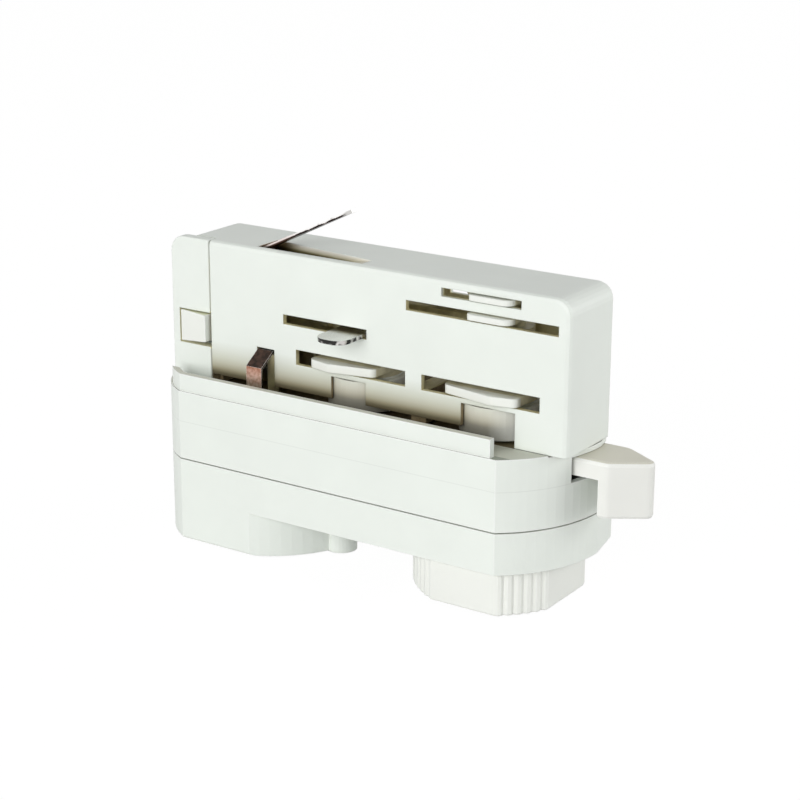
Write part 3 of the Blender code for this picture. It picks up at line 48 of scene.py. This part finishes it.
# Floor, world and lights
FLOOR_HALF = 3.0
FLOOR_GAP = 0.0002
FLOOR_COLOUR = (0.62, 0.62, 0.61, 1)
FLOOR_WHITE = 1.04
FLOOR_WHITE_SHARE = 0.94
WORLD_LIGHT = 0.36
WORLD_ADDED_WHERE_SEEN = 0.68
FRONT_LIGHT_PLACE = (0.06, -1.12, 0.24)
FRONT_LIGHT_SIZE = 0.9
FRONT_LIGHT_WATTS = 11.8
SIDE_LIGHT_PLACE = (0.87, 0.61, 0.19)
SIDE_LIGHT_SIZE = 0.7
SIDE_LIGHT_WATTS = 6.3

# Colours of the plastics and metals
BODY = (0.82, 0.862, 0.812)
LOBE = (0.85, 0.87, 0.82)
DIAL = (0.85, 0.865, 0.82)
CATCH = (0.85, 0.87, 0.82)
# painted shade that tints the catch's top faces
CATCH_TOP = (0.92, 0.92, 0.72)
LEVER = (0.84, 0.845, 0.805)
# painted shade that darkens the lever's top faces
LEVER_TOP = (0.82, 0.79, 0.71)
GEAR = (0.74, 0.76, 0.72)
DARK_MOULDING = (0.10, 0.10, 0.09)
SILVER = (0.80, 0.80, 0.77)
SILVER_RIM = (0.62, 0.60, 0.58)
BRASS = (0.62, 0.56, 0.36)
SPRING_STEEL = (0.58, 0.57, 0.55)
SCREW_STEEL = (0.56, 0.56, 0.57)
WHITE = (1.0, 1.0, 1.0)

# Every plastic: mottling, painted shade in crevices, grain, softened edges and painted edge
# highlights
MOTTLE_SCALE = 70.0
MOTTLE_SHADE = 0.965
CREVICE_REACH = 0.0012
CREVICE_TINT = (0.66, 0.66, 0.56)
ROUGHNESS_SCALE = 900.0
ROUGHNESS_SPREAD = 0.12
SPECULAR = 0.45
GRAIN = 0.06
GRAIN_SCALE = 2600.0
GRAIN_DEPTH = 0.00006
COVER_GRAIN = 0.12
COVER_GRAIN_SCALE = 1800.0
SOFT_EDGE = 0.0003
SHARP_EDGE = 0.0002
# painted highlight: edges of the base, cover, dial, catch and lever lightened towards near white
EDGE_HIGHLIGHT_RADIUS = 0.0004
EDGE_HIGHLIGHT_GAIN = 20.0
EDGE_HIGHLIGHT = (0.95, 0.96, 0.94)
BASE_EDGE_HIGHLIGHT = (0.95, 0.96, 0.95)
FACES_UP = 0.8

# Painted shade, warm brown, at the foot of the housing behind the rail
FOOT_BOTTOM = 0.0022
FOOT_TOP = 0.0100
FOOT_LEFT = -0.03745
FOOT_FADE_START = 0.0390
FOOT_FADE_END = 0.0325
HOUSING_FOOT_FRONT = -0.0084
ROTOR_FOOT_FRONT = -0.0040
ROTOR_FOOT_STRENGTH = 0.78
FOOT_STOPS = [
    (0.0, (0.10, 0.075, 0.04)), (0.10, (0.15, 0.12, 0.07)), (0.19, (0.33, 0.28, 0.19)),
    (0.28, (0.50, 0.45, 0.35)), (0.40, (0.66, 0.62, 0.53)), (0.55, (0.78, 0.76, 0.69)),
    (0.76, (0.90, 0.89, 0.86)), (1.0, WHITE),
]

# Painted shade, olive and brown, of the cavity behind the slots
OLIVE = (0.86, 0.80, 0.50)
OLIVE_DARK = (0.55, 0.49, 0.27)
OLIVE_SCALE = 230.0
BROWN = (0.34, 0.27, 0.16)
BROWN_DARK = (0.20, 0.15, 0.08)
BROWN_SCALE = 300.0
BROWN_TOP = 0.0073
CAVITY_HALF_WIDTH = 0.00845
CAVITY_GAIN = 1600.0
CAVITY_X = (-0.0370, 0.0500)
CAVITY_Z = (-0.001, 0.0305)
SLOT_RIM_X = (-0.0372, 0.0500)
SLOT_RIM_Y = (-0.00886, -0.0078)
SLOT_RIM_Z = (-0.001, 0.0283)
ROTOR_INSIDE_HALF_WIDTH = 0.0077
ROTOR_OLIVE_STRENGTH = 0.7
ROTOR_OLIVE_BOTTOM = BROWN_TOP
CAM_OLIVE_BOTTOM = 0.0130

# Pocket of the leaf spring, and the shade painted in it
POCKET_X = (-0.0268, 0.0017)
POCKET_Y = (-0.0078, 0.0005)
POCKET_Z = (0.0272, 0.03187)
POCKET_FLOOR = 0.0275
POCKET_RIM = 0.0319
POCKET_STOPS = [
    (0.0, (0.14, 0.12, 0.05)), (0.68, (0.15, 0.13, 0.055)), (0.74, (0.38, 0.35, 0.22)),
    (0.80, (0.66, 0.62, 0.47)), (0.90, (0.76, 0.73, 0.62)), (1.0, (0.84, 0.83, 0.78)),
]
POCKET_ROOT_START = -0.0252
POCKET_ROOT_END = -0.0185
POCKET_ROOT_STOPS = [
    (0.0, (0.14, 0.09, 0.04)), (0.3, (0.28, 0.22, 0.13)), (0.65, (0.75, 0.71, 0.64)),
    (1.0, WHITE),
]

# Window of the catch in the latch plate, and the olive shade painted on its walls
WINDOW_X = (-0.0462, -0.0371)
WINDOW_Z = (0.0079, 0.0162)
WINDOW_FRONT = -0.00885
WINDOW_TONE = (0.90, 0.86, 0.60)

# Base: mould line, and shade painted on its top by place
MOULD_LINE_Z = (-0.00685, -0.00665)
MOULD_LINE_STRENGTH = 0.14
MOULD_LINE_SHADE = 0.5
ROOF_Z = (-0.0006, 0.0006)
ROOF_TONE = (0.70, 0.68, 0.62)
COVERED_X = (-0.0370, 0.0390)
COVERED_Y = (-0.0084, 0.0084)
COVERED_TOP = 0.0006
COVERED_TONE = (0.30, 0.24, 0.15)
BEHIND_RAIL_X = (-0.0375, 0.0330)
BEHIND_RAIL_Y = (-0.0135, 0.0)
BEHIND_RAIL_TONE = (0.42, 0.36, 0.25)
LEDGE_BACK = -0.0150
LEDGE_TONE = (0.55, 0.58, 0.56)
RAIL_BOTTOM = 0.0034
RAIL_TONE = (0.82, 0.78, 0.72)

# Earth strip: coppery front, near black painted shade on its slope and sides, painted edge
# highlights
EARTH_BOTTOM = 0.0022
EARTH_TOP = 0.0074
EARTH_STOPS = [
    (0.0, (0.62, 0.58, 0.53)), (0.4, (0.60, 0.44, 0.37)), (0.8, (0.58, 0.36, 0.28)),
    (1.0, (0.42, 0.20, 0.12)),
]
EARTH_MOTTLE_STOPS = [(0.38, (0.70, 0.62, 0.58)), (0.62, WHITE)]
# painted shade, near black, for the slope, the back and the sides
EARTH_DARK_STOPS = [(0.35, (0.030, 0.022, 0.018)), (0.7, (0.085, 0.050, 0.038))]
EARTH_MOTTLE_SCALE = 1300.0
EARTH_DARK_SCALE = 900.0
EARTH_SLOPE = 0.2
EARTH_SIDE = 0.7
EARTH_BACK = -0.0092
EARTH_EDGE_RADIUS = 0.00012
EARTH_EDGE_GAIN = 8.0
EARTH_EDGE = (0.90, 0.89, 0.86)
EARTH_EDGE_STRENGTH = 0.9
EARTH_ROUGHNESS = 0.32
EARTH_BUMP = 0.1
EARTH_BUMP_SCALE = 1500.0

# Leaf spring: painted reflections in bright and near black bands
LEAF_ANGLE = math.radians(25.5)
LEAF_MIDDLE = 0.03898
LEAF_STREAKS = (900.0, 260.0, 500.0)
LEAF_MIDDLE_GAIN = 4000.0
LEAF_BAND_WEIGHT = 0.9
LEAF_UPPER_WEIGHT = 0.4
LEAF_BRIGHT_STOPS = [
    (0.54, (0.020, 0.014, 0.012)), (0.66, (0.20, 0.16, 0.15)), (0.76, (0.92, 0.91, 0.90)),
]
LEAF_ROOT_STOPS = [(0.25, (0.055, 0.028, 0.018)), (0.75, (0.78, 0.68, 0.65))]
LEAF_ROOT_FADE = (-0.0190, -0.0150)
LEAF_TIP_FADE = (-0.0042, -0.0028)
LEAF_TIP = (0.60, 0.59, 0.57)
LEAF_ROUGHNESS = 0.3

# Other metals: streaks along one axis, tarnish, darker streaked upright faces, surface
STREAKS_X = (60.0, 900.0, 900.0)
STREAKS_Y = (900.0, 60.0, 900.0)
STREAKS_Z = (900.0, 900.0, 60.0)
TARNISH_SCALE = 140.0
RIM_SCALE = 650.0
RIM_SHADE = 0.06
RIM_FACING = 0.4
STREAK_ROUGHNESS = 0.2
METAL_BUMP = 0.08
METAL_BUMP_DEPTH = 0.00003
METAL_SOFT_EDGE = 0.0001


def add_camera():
    """The camera of the photograph."""
    back = Vector((math.sin(AZIMUTH) * math.cos(ELEVATION),
                   -math.cos(AZIMUTH) * math.cos(ELEVATION), math.sin(ELEVATION)))
    level_right = Vector((math.cos(AZIMUTH), math.sin(AZIMUTH), 0))
    level_up = back.cross(level_right)
    right = level_right * math.cos(ROLL) + level_up * math.sin(ROLL)
    up = level_up * math.cos(ROLL) - level_right * math.sin(ROLL)
    place = back * DISTANCE + right * SHIFT_RIGHT + up * SHIFT_UP + Vector((CENTRE_X, 0, 0))
    data = bpy.data.cameras.new("camera")
    data.sensor_width = SENSOR_WIDTH
    data.lens = FOCAL_PIXELS / PICTURE_PIXELS * SENSOR_WIDTH
    data.clip_start = 0.01
    data.clip_end = 20
    camera = bpy.data.objects.new("camera", data)
    bpy.context.scene.collection.objects.link(camera)
    turn = Matrix((right, up, back)).transposed().to_4x4()
    camera.matrix_world = Matrix.Translation(place) @ turn
    bpy.context.scene.camera = camera


def dimmed(colour, share):
    return tuple(channel * share for channel in colour)


class Nodes:
    """Small helper that builds a material's node tree."""

    def __init__(self, name):
        self.material = bpy.data.materials.new(name)
        self.material.use_nodes = True
        self.tree = self.material.node_tree
        self.shader = self.tree.nodes["Principled BSDF"]
        self.coords = self.add("ShaderNodeTexCoord").outputs["Object"]

    def add(self, kind, **values):
        node = self.tree.nodes.new(kind)
        for key, value in values.items():
            setattr(node, key, value)
        return node

    def link(self, source, target):
        self.tree.links.new(source, target)

    def fill(self, socket, value):
        """Give a socket a number or a colour, or link another node's output to it."""
        if isinstance(value, tuple):
            socket.default_value = (*value, 1.0)
        elif isinstance(value, (int, float)):
            socket.default_value = value
        else:
            self.link(value, socket)

    def noise(self, scale, detail=2.0, roughness=0.5, coords=None):
        node = self.add("ShaderNodeTexNoise")
        node.inputs["Scale"].default_value = scale
        node.inputs["Detail"].default_value = detail
        node.inputs["Roughness"].default_value = roughness
        self.link(coords or self.coords, node.inputs["Vector"])
        return node.outputs["Fac"]

    def stretched(self, scales):
        """Object coordinates with a scale of their own along each axis."""
        node = self.add("ShaderNodeMapping")
        node.inputs["Scale"].default_value = scales
        self.link(self.coords, node.inputs["Vector"])
        return node.outputs["Vector"]

    def math(self, operation, *values, clamp=False):
        node = self.add("ShaderNodeMath", operation=operation, use_clamp=clamp)
        for socket, value in zip(node.inputs, values):
            self.fill(socket, value)
        return node.outputs[0]

    def ramp(self, factor, stops):
        node = self.add("ShaderNodeValToRGB")
        while len(node.color_ramp.elements) < len(stops):
            node.color_ramp.elements.new(0.5)
        for element, (place, colour) in zip(node.color_ramp.elements, stops):
            element.position = place
            element.color = (*colour, 1.0)
        self.link(factor, node.inputs["Fac"])
        return node.outputs["Color"]

    def mix(self, factor, first, second, blend="MIX"):
        """Two colours mixed; a Mix node has its colours at inputs 6 and 7 and at output 2."""
        node = self.add("ShaderNodeMix", data_type="RGBA", blend_type=blend)
        for index, value in ((0, factor), (6, first), (7, second)):
            self.fill(node.inputs[index], value)
        return node.outputs[2]

    def tint(self, shade, strength, colour):
        """The shade times a colour, where the strength is one."""
        return self.mix(strength, shade, colour, "MULTIPLY")

    def axis(self, index, source=None):
        node = self.add("ShaderNodeSeparateXYZ")
        self.link(source or self.coords, node.inputs[0])
        return node.outputs[index]

    def facing(self, index):
        """Component of the surface's own direction, the same from every camera."""
        return self.axis(index, self.add("ShaderNodeNewGeometry").outputs["Normal"])

    def above(self, value, level):
        return self.math("GREATER_THAN", value, level)

    def below(self, value, level):
        return self.math("LESS_THAN", value, level)

    def all_of(self, *values):
        result = values[0]
        for value in values[1:]:
            result = self.math("MULTIPLY", result, value)
        return result

    def box(self, **limits):
        """One between the limits given for x, y and z, else nought."""
        sides = []
        for index, name in enumerate("xyz"):
            if name in limits:
                low, high = limits[name]
                sides += [self.above(self.axis(index), low), self.below(self.axis(index), high)]
        return self.all_of(*sides)

    def along(self, index, start, end):
        """Nought at the start and one at the end of a stretch of one axis."""
        scale = 1 / (end - start)
        return self.math("MULTIPLY_ADD", self.axis(index), scale, -start * scale, clamp=True)

    def open_sky(self, distance):
        """One in the open, less in corners that are tighter than the distance."""
        node = self.add("ShaderNodeAmbientOcclusion", samples=8)
        node.inputs["Distance"].default_value = distance
        return node.outputs["AO"]

    def bump(self, height, strength, distance, normal=None):
        node = self.add("ShaderNodeBump")
        node.inputs["Strength"].default_value = strength
        node.inputs["Distance"].default_value = distance
        self.link(height, node.inputs["Height"])
        if normal is not None:
            self.link(normal, node.inputs["Normal"])
        return node.outputs["Normal"]

    def soft_edges(self, radius):
        node = self.add("ShaderNodeBevel", samples=6)
        node.inputs["Radius"].default_value = radius
        return node.outputs["Normal"]

    def edges(self, radius, gain):
        """Near one along edges, nought on flat faces."""
        turn = self.add("ShaderNodeVectorMath", operation="DOT_PRODUCT")
        self.link(self.soft_edges(radius), turn.inputs[0])
        self.link(self.add("ShaderNodeNewGeometry").outputs["Normal"], turn.inputs[1])
        bend = self.math("SUBTRACT", 1.0, turn.outputs["Value"])
        return self.math("MULTIPLY", bend, gain, clamp=True)


def plastic_shade(n, colour, crevices):
    """Slow mottling, and painted shade: a darker, olive tint in tight crevices."""
    slow = n.noise(MOTTLE_SCALE, detail=3.0)
    shade = n.ramp(slow, [(0.3, dimmed(colour, MOTTLE_SHADE)), (0.7, colour)])
    # painted shade: crevices found by ambient occlusion are darkened
    closed = n.math("SUBTRACT", 1.0, n.open_sky(CREVICE_REACH))
    crevice = n.math("MULTIPLY", closed, crevices, clamp=True)
    tinted = tuple(channel * share for channel, share in zip(colour, CREVICE_TINT))
    return n.mix(crevice, shade, tinted)


def plastic_surface(n, shade, roughness, grain=GRAIN, grain_scale=GRAIN_SCALE, edge=SOFT_EDGE):
    """Uneven gloss, a fine sparked grain and softened edges."""
    n.link(shade, n.shader.inputs["Base Color"])
    rough = n.math("MULTIPLY_ADD", n.noise(ROUGHNESS_SCALE), ROUGHNESS_SPREAD,
                   roughness - ROUGHNESS_SPREAD / 2)
    n.link(rough, n.shader.inputs["Roughness"])
    n.shader.inputs["Specular IOR Level"].default_value = SPECULAR
    height = n.noise(grain_scale, roughness=0.6)
    normal = n.bump(height, grain, GRAIN_DEPTH, n.soft_edges(edge))
    n.link(normal, n.shader.inputs["Normal"])
    return n.material


# painted highlight: lightens the colour along edges
def painted_edge_highlights(n, shade, strength, colour=EDGE_HIGHLIGHT):
    edge_glint = n.math("MULTIPLY", n.edges(EDGE_HIGHLIGHT_RADIUS, EDGE_HIGHLIGHT_GAIN), strength)
    return n.mix(edge_glint, shade, colour)


def foot_painted_shade(n, shade, front, strength=1.0):
    """Painted shade, warm brown, that darkens towards the foot of the housing behind the rail."""
    # painted shade: darkens from the rail's top upwards
    tone = n.ramp(n.along(Z, FOOT_BOTTOM, FOOT_TOP), FOOT_STOPS)
    fade = n.all_of(n.along(X, FOOT_FADE_START, FOOT_FADE_END), n.above(n.axis(X), FOOT_LEFT),
                    n.below(n.axis(Y), front))
    return n.tint(shade, n.math("MULTIPLY", fade, strength), tone)


def patches(n, scale, dark, light):
    return n.ramp(n.noise(scale, detail=3.0), [(0.36, dark), (0.6, light)])


def cavity_painted_shade(n):
    """Painted shade of the cavity behind the slots: olive above, brown near the foot."""
    olive = patches(n, OLIVE_SCALE, OLIVE_DARK, OLIVE)
    brown = patches(n, BROWN_SCALE, BROWN_DARK, BROWN)
    return n.mix(n.below(n.axis(Z), BROWN_TOP), olive, brown)


def pocket_painted_shade(n):
    """Painted shade in the leaf's pocket: dark by the leaf's root and on the floor, pale up the
    back wall.
    """
    wall = n.ramp(n.along(Z, POCKET_FLOOR, POCKET_RIM), POCKET_STOPS)
    root = n.ramp(n.along(X, POCKET_ROOT_START, POCKET_ROOT_END), POCKET_ROOT_STOPS)
    return n.tint(wall, 1.0, root)


def plastic(name, colour, roughness):
    """Plain moulded plastic, for the pieces inside."""
    n = Nodes(name)
    return plastic_surface(n, plastic_shade(n, colour, crevices=0.55), roughness)


def housing_plastic(name, colour, roughness):
    """The body's plastic, with painted shade in the cavity, on the slot rims, in the pocket and at
    the foot.
    """
    n = Nodes(name)
    shade = foot_painted_shade(n, plastic_shade(n, colour, crevices=0.5), HOUSING_FOOT_FRONT)
    depth = n.math("SUBTRACT", CAVITY_HALF_WIDTH, n.math("ABSOLUTE", n.axis(Y)))
    inside = n.all_of(n.math("MULTIPLY", depth, CAVITY_GAIN, clamp=True),
                      n.box(x=CAVITY_X, z=CAVITY_Z))
    rims = n.box(x=SLOT_RIM_X, y=SLOT_RIM_Y, z=SLOT_RIM_Z)
    # painted shade in the cavity and on the slot rims
    shade = n.mix(n.math("MAXIMUM", inside, rims), shade, cavity_painted_shade(n))
    shade = n.mix(n.box(x=POCKET_X, y=POCKET_Y, z=POCKET_Z), shade, pocket_painted_shade(n))
    return plastic_surface(n, shade, roughness)


def plate_plastic(name, colour, roughness):
    """The body's plastic, with olive painted shade round the catch's window."""
    n = Nodes(name)
    window = n.all_of(n.box(x=WINDOW_X, z=WINDOW_Z), n.above(n.axis(Y), WINDOW_FRONT))
    shade = n.mix(window, plastic_shade(n, colour, crevices=0.35), WINDOW_TONE)
    return plastic_surface(n, shade, roughness)


def base_plastic(name, colour, roughness):
    """The body's plastic with a faint mould line, painted shade that makes its top darker and
    warmer by place, and painted edge highlights.
    """
    n = Nodes(name)
    line = n.math("MULTIPLY", n.box(z=MOULD_LINE_Z), MOULD_LINE_STRENGTH)
    shade = n.mix(line, plastic_shade(n, colour, crevices=0.45), dimmed(colour, MOULD_LINE_SHADE))
    up = n.above(n.facing(Z), FACES_UP)
    roof = n.all_of(up, n.box(z=ROOF_Z))
    covered = n.all_of(n.box(x=COVERED_X, y=COVERED_Y), n.below(n.axis(Z), COVERED_TOP))
    # painted shade: the top in front, the part under the housing, the strip behind the rail, the
    # ledge and the rail's top
    painted_shades = [
        (n.all_of(roof, n.below(n.axis(Y), 0.0)), ROOF_TONE),
        (covered, COVERED_TONE),
        (n.all_of(roof, n.box(x=BEHIND_RAIL_X, y=BEHIND_RAIL_Y)), BEHIND_RAIL_TONE),
        (n.all_of(roof, n.below(n.axis(Y), LEDGE_BACK)), LEDGE_TONE),
        (n.all_of(up, n.above(n.axis(Z), RAIL_BOTTOM)), RAIL_TONE),
    ]
    for place, tone in painted_shades:
        shade = n.tint(shade, place, tone)
    shade = painted_edge_highlights(n, shade, strength=0.8, colour=BASE_EDGE_HIGHLIGHT)
    return plastic_surface(n, shade, roughness, edge=SHARP_EDGE)


def edged_plastic(name, colour, roughness, grain=GRAIN, grain_scale=GRAIN_SCALE, top=None):
    """Moulded plastic with painted highlights along its edges; its top faces may have painted
    shade of their own.
    """
    n = Nodes(name)
    shade = plastic_shade(n, colour, crevices=0.4)
    if top is not None:
        # painted shade on faces that look up
        shade = n.tint(shade, n.above(n.facing(Z), FACES_UP), top)
    shade = painted_edge_highlights(n, shade, strength=0.7)
    return plastic_surface(n, shade, roughness, grain, grain_scale, SHARP_EDGE)


def rotor_plastic(name, colour, roughness, olive_bottom):
    """White lobes outside, the painted shade of the cavity within, painted shade at the foot
    below.
    """
    n = Nodes(name)
    shade = foot_painted_shade(n, plastic_shade(n, colour, crevices=0.4), ROTOR_FOOT_FRONT,
                      ROTOR_FOOT_STRENGTH)
    inside = n.all_of(n.below(n.math("ABSOLUTE", n.axis(Y)), ROTOR_INSIDE_HALF_WIDTH),
                      n.above(n.axis(Z), olive_bottom))
    olive = n.math("MULTIPLY", inside, ROTOR_OLIVE_STRENGTH)
    return plastic_surface(n, n.mix(olive, shade, cavity_painted_shade(n)), roughness)


def metal_surface(n, shade, roughness, normal):
    n.link(shade, n.shader.inputs["Base Color"])
    n.fill(n.shader.inputs["Roughness"], roughness)
    n.shader.inputs["Metallic"].default_value = 1.0
    n.link(normal, n.shader.inputs["Normal"])
    return n.material


def earth_metal(name):
    """Plated strip: painted shade, near black, on its slope and sides, coppery down its front,
    painted highlights on its edges.
    """
    n = Nodes(name)
    front = n.ramp(n.along(Z, EARTH_BOTTOM, EARTH_TOP), EARTH_STOPS)
    front = n.tint(front, 1.0, n.ramp(n.noise(EARTH_MOTTLE_SCALE, detail=3.0), EARTH_MOTTLE_STOPS))
    dark = n.ramp(n.noise(EARTH_DARK_SCALE), EARTH_DARK_STOPS)
    slope = n.above(n.facing(Z), EARTH_SLOPE)
    inner = n.above(n.axis(Y), EARTH_BACK)
    side = n.above(n.math("ABSOLUTE", n.facing(X)), EARTH_SIDE)
    shade = n.mix(n.math("MAXIMUM", n.math("MAXIMUM", slope, inner), side), front, dark)
    # painted highlight along the edges
    edge = n.math("MULTIPLY", n.edges(EARTH_EDGE_RADIUS, EARTH_EDGE_GAIN),
                  EARTH_EDGE_STRENGTH)
    normal = n.bump(n.noise(EARTH_BUMP_SCALE, detail=3.0), EARTH_BUMP, METAL_BUMP_DEPTH)
    return metal_surface(n, n.mix(edge, shade, EARTH_EDGE), EARTH_ROUGHNESS, normal)


def leaf_metal(name):
    """Polished spring leaf with painted reflections: banded bright and near black along its
    length, lighter on its upper half.
    """
    n = Nodes(name)
    bands = n.noise(1.0, roughness=0.7, coords=n.stretched(LEAF_STREAKS))
    across = n.math("MULTIPLY_ADD", n.axis(Z), math.cos(LEAF_ANGLE),
                    n.math("MULTIPLY", n.axis(X), -math.sin(LEAF_ANGLE)))
    upper = n.math("MULTIPLY_ADD", n.math("SUBTRACT", across, LEAF_MIDDLE), LEAF_MIDDLE_GAIN,
                   0.5, clamp=True)
    level = n.math("ADD", n.math("MULTIPLY", bands, LEAF_BAND_WEIGHT),
                   n.math("MULTIPLY", upper, LEAF_UPPER_WEIGHT))
    # painted reflections: near black and bright bands
    bright = n.ramp(level, LEAF_BRIGHT_STOPS)
    root = n.ramp(upper, LEAF_ROOT_STOPS)
    shade = n.mix(n.along(X, *LEAF_ROOT_FADE), root, bright)
    shade = n.mix(n.along(X, *LEAF_TIP_FADE), shade, LEAF_TIP)
    normal = n.bump(bands, METAL_BUMP, METAL_BUMP_DEPTH)
    return metal_surface(n, shade, LEAF_ROUGHNESS, normal)


def metal(name, colour, roughness, streaks=STREAKS_Y, tarnish=0.15, rim=None):
    """Rolled or plated metal: fine streaks, a slow tarnish and, where given, dark streaks on its
    upright faces.
    """
    n = Nodes(name)
    lines = n.noise(3.0, detail=3.0, roughness=0.6, coords=n.stretched(streaks))
    dark = dimmed(colour, 1 - tarnish * 2)
    shade = n.ramp(n.noise(TARNISH_SCALE, detail=3.0), [(0.3, dark), (0.62, colour)])
    if rim is not None:
        upright = n.below(n.math("ABSOLUTE", n.facing(Z)), RIM_FACING)
        streaked_rim = n.ramp(n.noise(RIM_SCALE, detail=1.0), [(0.46, dimmed(rim, RIM_SHADE)), (0.60, rim)])
        shade = n.mix(upright, shade, streaked_rim)
    rough = n.math("MULTIPLY_ADD", lines, STREAK_ROUGHNESS, roughness - STREAK_ROUGHNESS / 2)
    normal = n.bump(lines, METAL_BUMP, METAL_BUMP_DEPTH, n.soft_edges(METAL_SOFT_EDGE))
    return metal_surface(n, shade, rough, normal)


def paint(material, *names):
    for name in names:
        slots = nodes[name].data.materials
        slots.clear()
        slots.append(material)


def make_looks():
    """Give every node of the part its material."""
    paint(housing_plastic("housing_plastic", BODY, roughness=0.5), "contact_housing")
    paint(base_plastic("base_plastic", BODY, roughness=0.5), "base_body")
    paint(plate_plastic("plate_plastic", BODY, roughness=0.5), "latch_plate")
    cover = edged_plastic("cover_plastic", BODY, roughness=0.52, grain=COVER_GRAIN,
                          grain_scale=COVER_GRAIN_SCALE)
    paint(cover, "lower_cover")
    paint(edged_plastic("dial_plastic", DIAL, roughness=0.42), "selector_dial")
    paint(edged_plastic("catch_plastic", CATCH, roughness=0.42, top=CATCH_TOP), "snap_catch")
    paint(edged_plastic("lever_plastic", LEVER, roughness=0.45, top=LEVER_TOP),
          "locking_lever")
    lobes = rotor_plastic("rotor_plastic", LOBE, roughness=0.38,
                          olive_bottom=ROTOR_OLIVE_BOTTOM)
    paint(lobes, "left_rotor", "right_rotor")
    cam = rotor_plastic("cam_plastic", LOBE, roughness=0.38, olive_bottom=CAM_OLIVE_BOTTOM)
    paint(cam, "selector_cam")
    paint(plastic("gear_plastic", GEAR, roughness=0.45), "left_pinion")
    paint(plastic("dark_moulding", DARK_MOULDING, roughness=0.55),
          "rack_bar", "terminal_block")
    paint(metal("silver_contact", SILVER, roughness=0.24, rim=SILVER_RIM),
          "neutral_contact", "phase_contact")
    paint(earth_metal("earth_strip"), "earth_contact")
    paint(metal("brass_strip", BRASS, roughness=0.34, streaks=STREAKS_Z, tarnish=0.2),
          "earth_feed", "neutral_feed", "phase_feed")
    paint(leaf_metal("spring_leaf"), "top_leaf_spring")
    paint(metal("spring_steel", SPRING_STEEL, roughness=0.26, streaks=STREAKS_X),
          "neutral_washer", "selector_shaft")
    screws = [name for name in nodes if "screw" in name]
    paint(metal("screw_steel", SCREW_STEEL, roughness=0.32), "stem_nut", *screws)


def looked_at(tree):
    """One for rays that come from the camera, a mirror or a glass, else nought."""
    paths = tree.nodes.new("ShaderNodeLightPath")
    result = paths.outputs["Is Camera Ray"]
    for name in ("Is Glossy Ray", "Is Transmission Ray"):
        larger = tree.nodes.new("ShaderNodeMath")
        larger.operation = "MAXIMUM"
        tree.links.new(result, larger.inputs[0])
        tree.links.new(paths.outputs[name], larger.inputs[1])
        result = larger.outputs[0]
    return result


def make_floor_material():
    """Pale and matt, so that it keeps the shadow, and nearly all white where it is seen."""
    material = bpy.data.materials.new("floor_white")
    material.use_nodes = True
    tree = material.node_tree
    diffuse = tree.nodes["Principled BSDF"]
    diffuse.inputs["Base Color"].default_value = FLOOR_COLOUR
    diffuse.inputs["Roughness"].default_value = 0.9
    white = tree.nodes.new("ShaderNodeEmission")
    white.inputs["Color"].default_value = (1, 1, 1, 1)
    white.inputs["Strength"].default_value = FLOOR_WHITE
    seen = tree.nodes.new("ShaderNodeMath")
    seen.operation = "MULTIPLY"
    seen.inputs[1].default_value = FLOOR_WHITE_SHARE
    tree.links.new(looked_at(tree), seen.inputs[0])
    mixer = tree.nodes.new("ShaderNodeMixShader")
    tree.links.new(seen.outputs[0], mixer.inputs[0])
    tree.links.new(diffuse.outputs[0], mixer.inputs[1])
    tree.links.new(white.outputs[0], mixer.inputs[2])
    tree.links.new(mixer.outputs[0], tree.nodes["Material Output"].inputs["Surface"])
    return material


def add_floor(level):
    half = FLOOR_HALF
    mesh = bpy.data.meshes.new("floor")
    corners = [(-half, -half, level), (half, -half, level), (half, half, level),
               (-half, half, level)]
    mesh.from_pydata(corners, [], [(0, 1, 2, 3)])
    floor = bpy.data.objects.new("floor", mesh)
    bpy.context.scene.collection.objects.link(floor)
    mesh.materials.append(make_floor_material())


def add_light(name, place, size, power):
    """A square soft light that looks at the origin."""
    data = bpy.data.lights.new(name, "AREA")
    data.shape = "RECTANGLE"
    data.size = size
    data.size_y = size
    data.energy = power
    lamp = bpy.data.objects.new(name, data)
    bpy.context.scene.collection.objects.link(lamp)
    lamp.location = place
    lamp.rotation_euler = (-Vector(place)).to_track_quat("-Z", "Y").to_euler()


def light_scene():
    world = bpy.data.worlds.new("studio")
    bpy.context.scene.world = world
    world.use_nodes = True
    tree = world.node_tree
    background = tree.nodes["Background"]
    background.inputs["Color"].default_value = (1, 1, 1, 1)
    level = tree.nodes.new("ShaderNodeMath")
    level.operation = "MULTIPLY_ADD"
    level.inputs[1].default_value = WORLD_ADDED_WHERE_SEEN
    level.inputs[2].default_value = WORLD_LIGHT
    tree.links.new(looked_at(tree), level.inputs[0])
    tree.links.new(level.outputs[0], background.inputs["Strength"])
    add_light("front_light", FRONT_LIGHT_PLACE, FRONT_LIGHT_SIZE, FRONT_LIGHT_WATTS)
    add_light("side_light", SIDE_LIGHT_PLACE, SIDE_LIGHT_SIZE, SIDE_LIGHT_WATTS)


def main():
    add_camera()
    make_looks()
    add_floor(cad_bounds[0][2] - FLOOR_GAP)
    light_scene()
    bpy.context.scene.view_settings.view_transform = "Standard"


main()
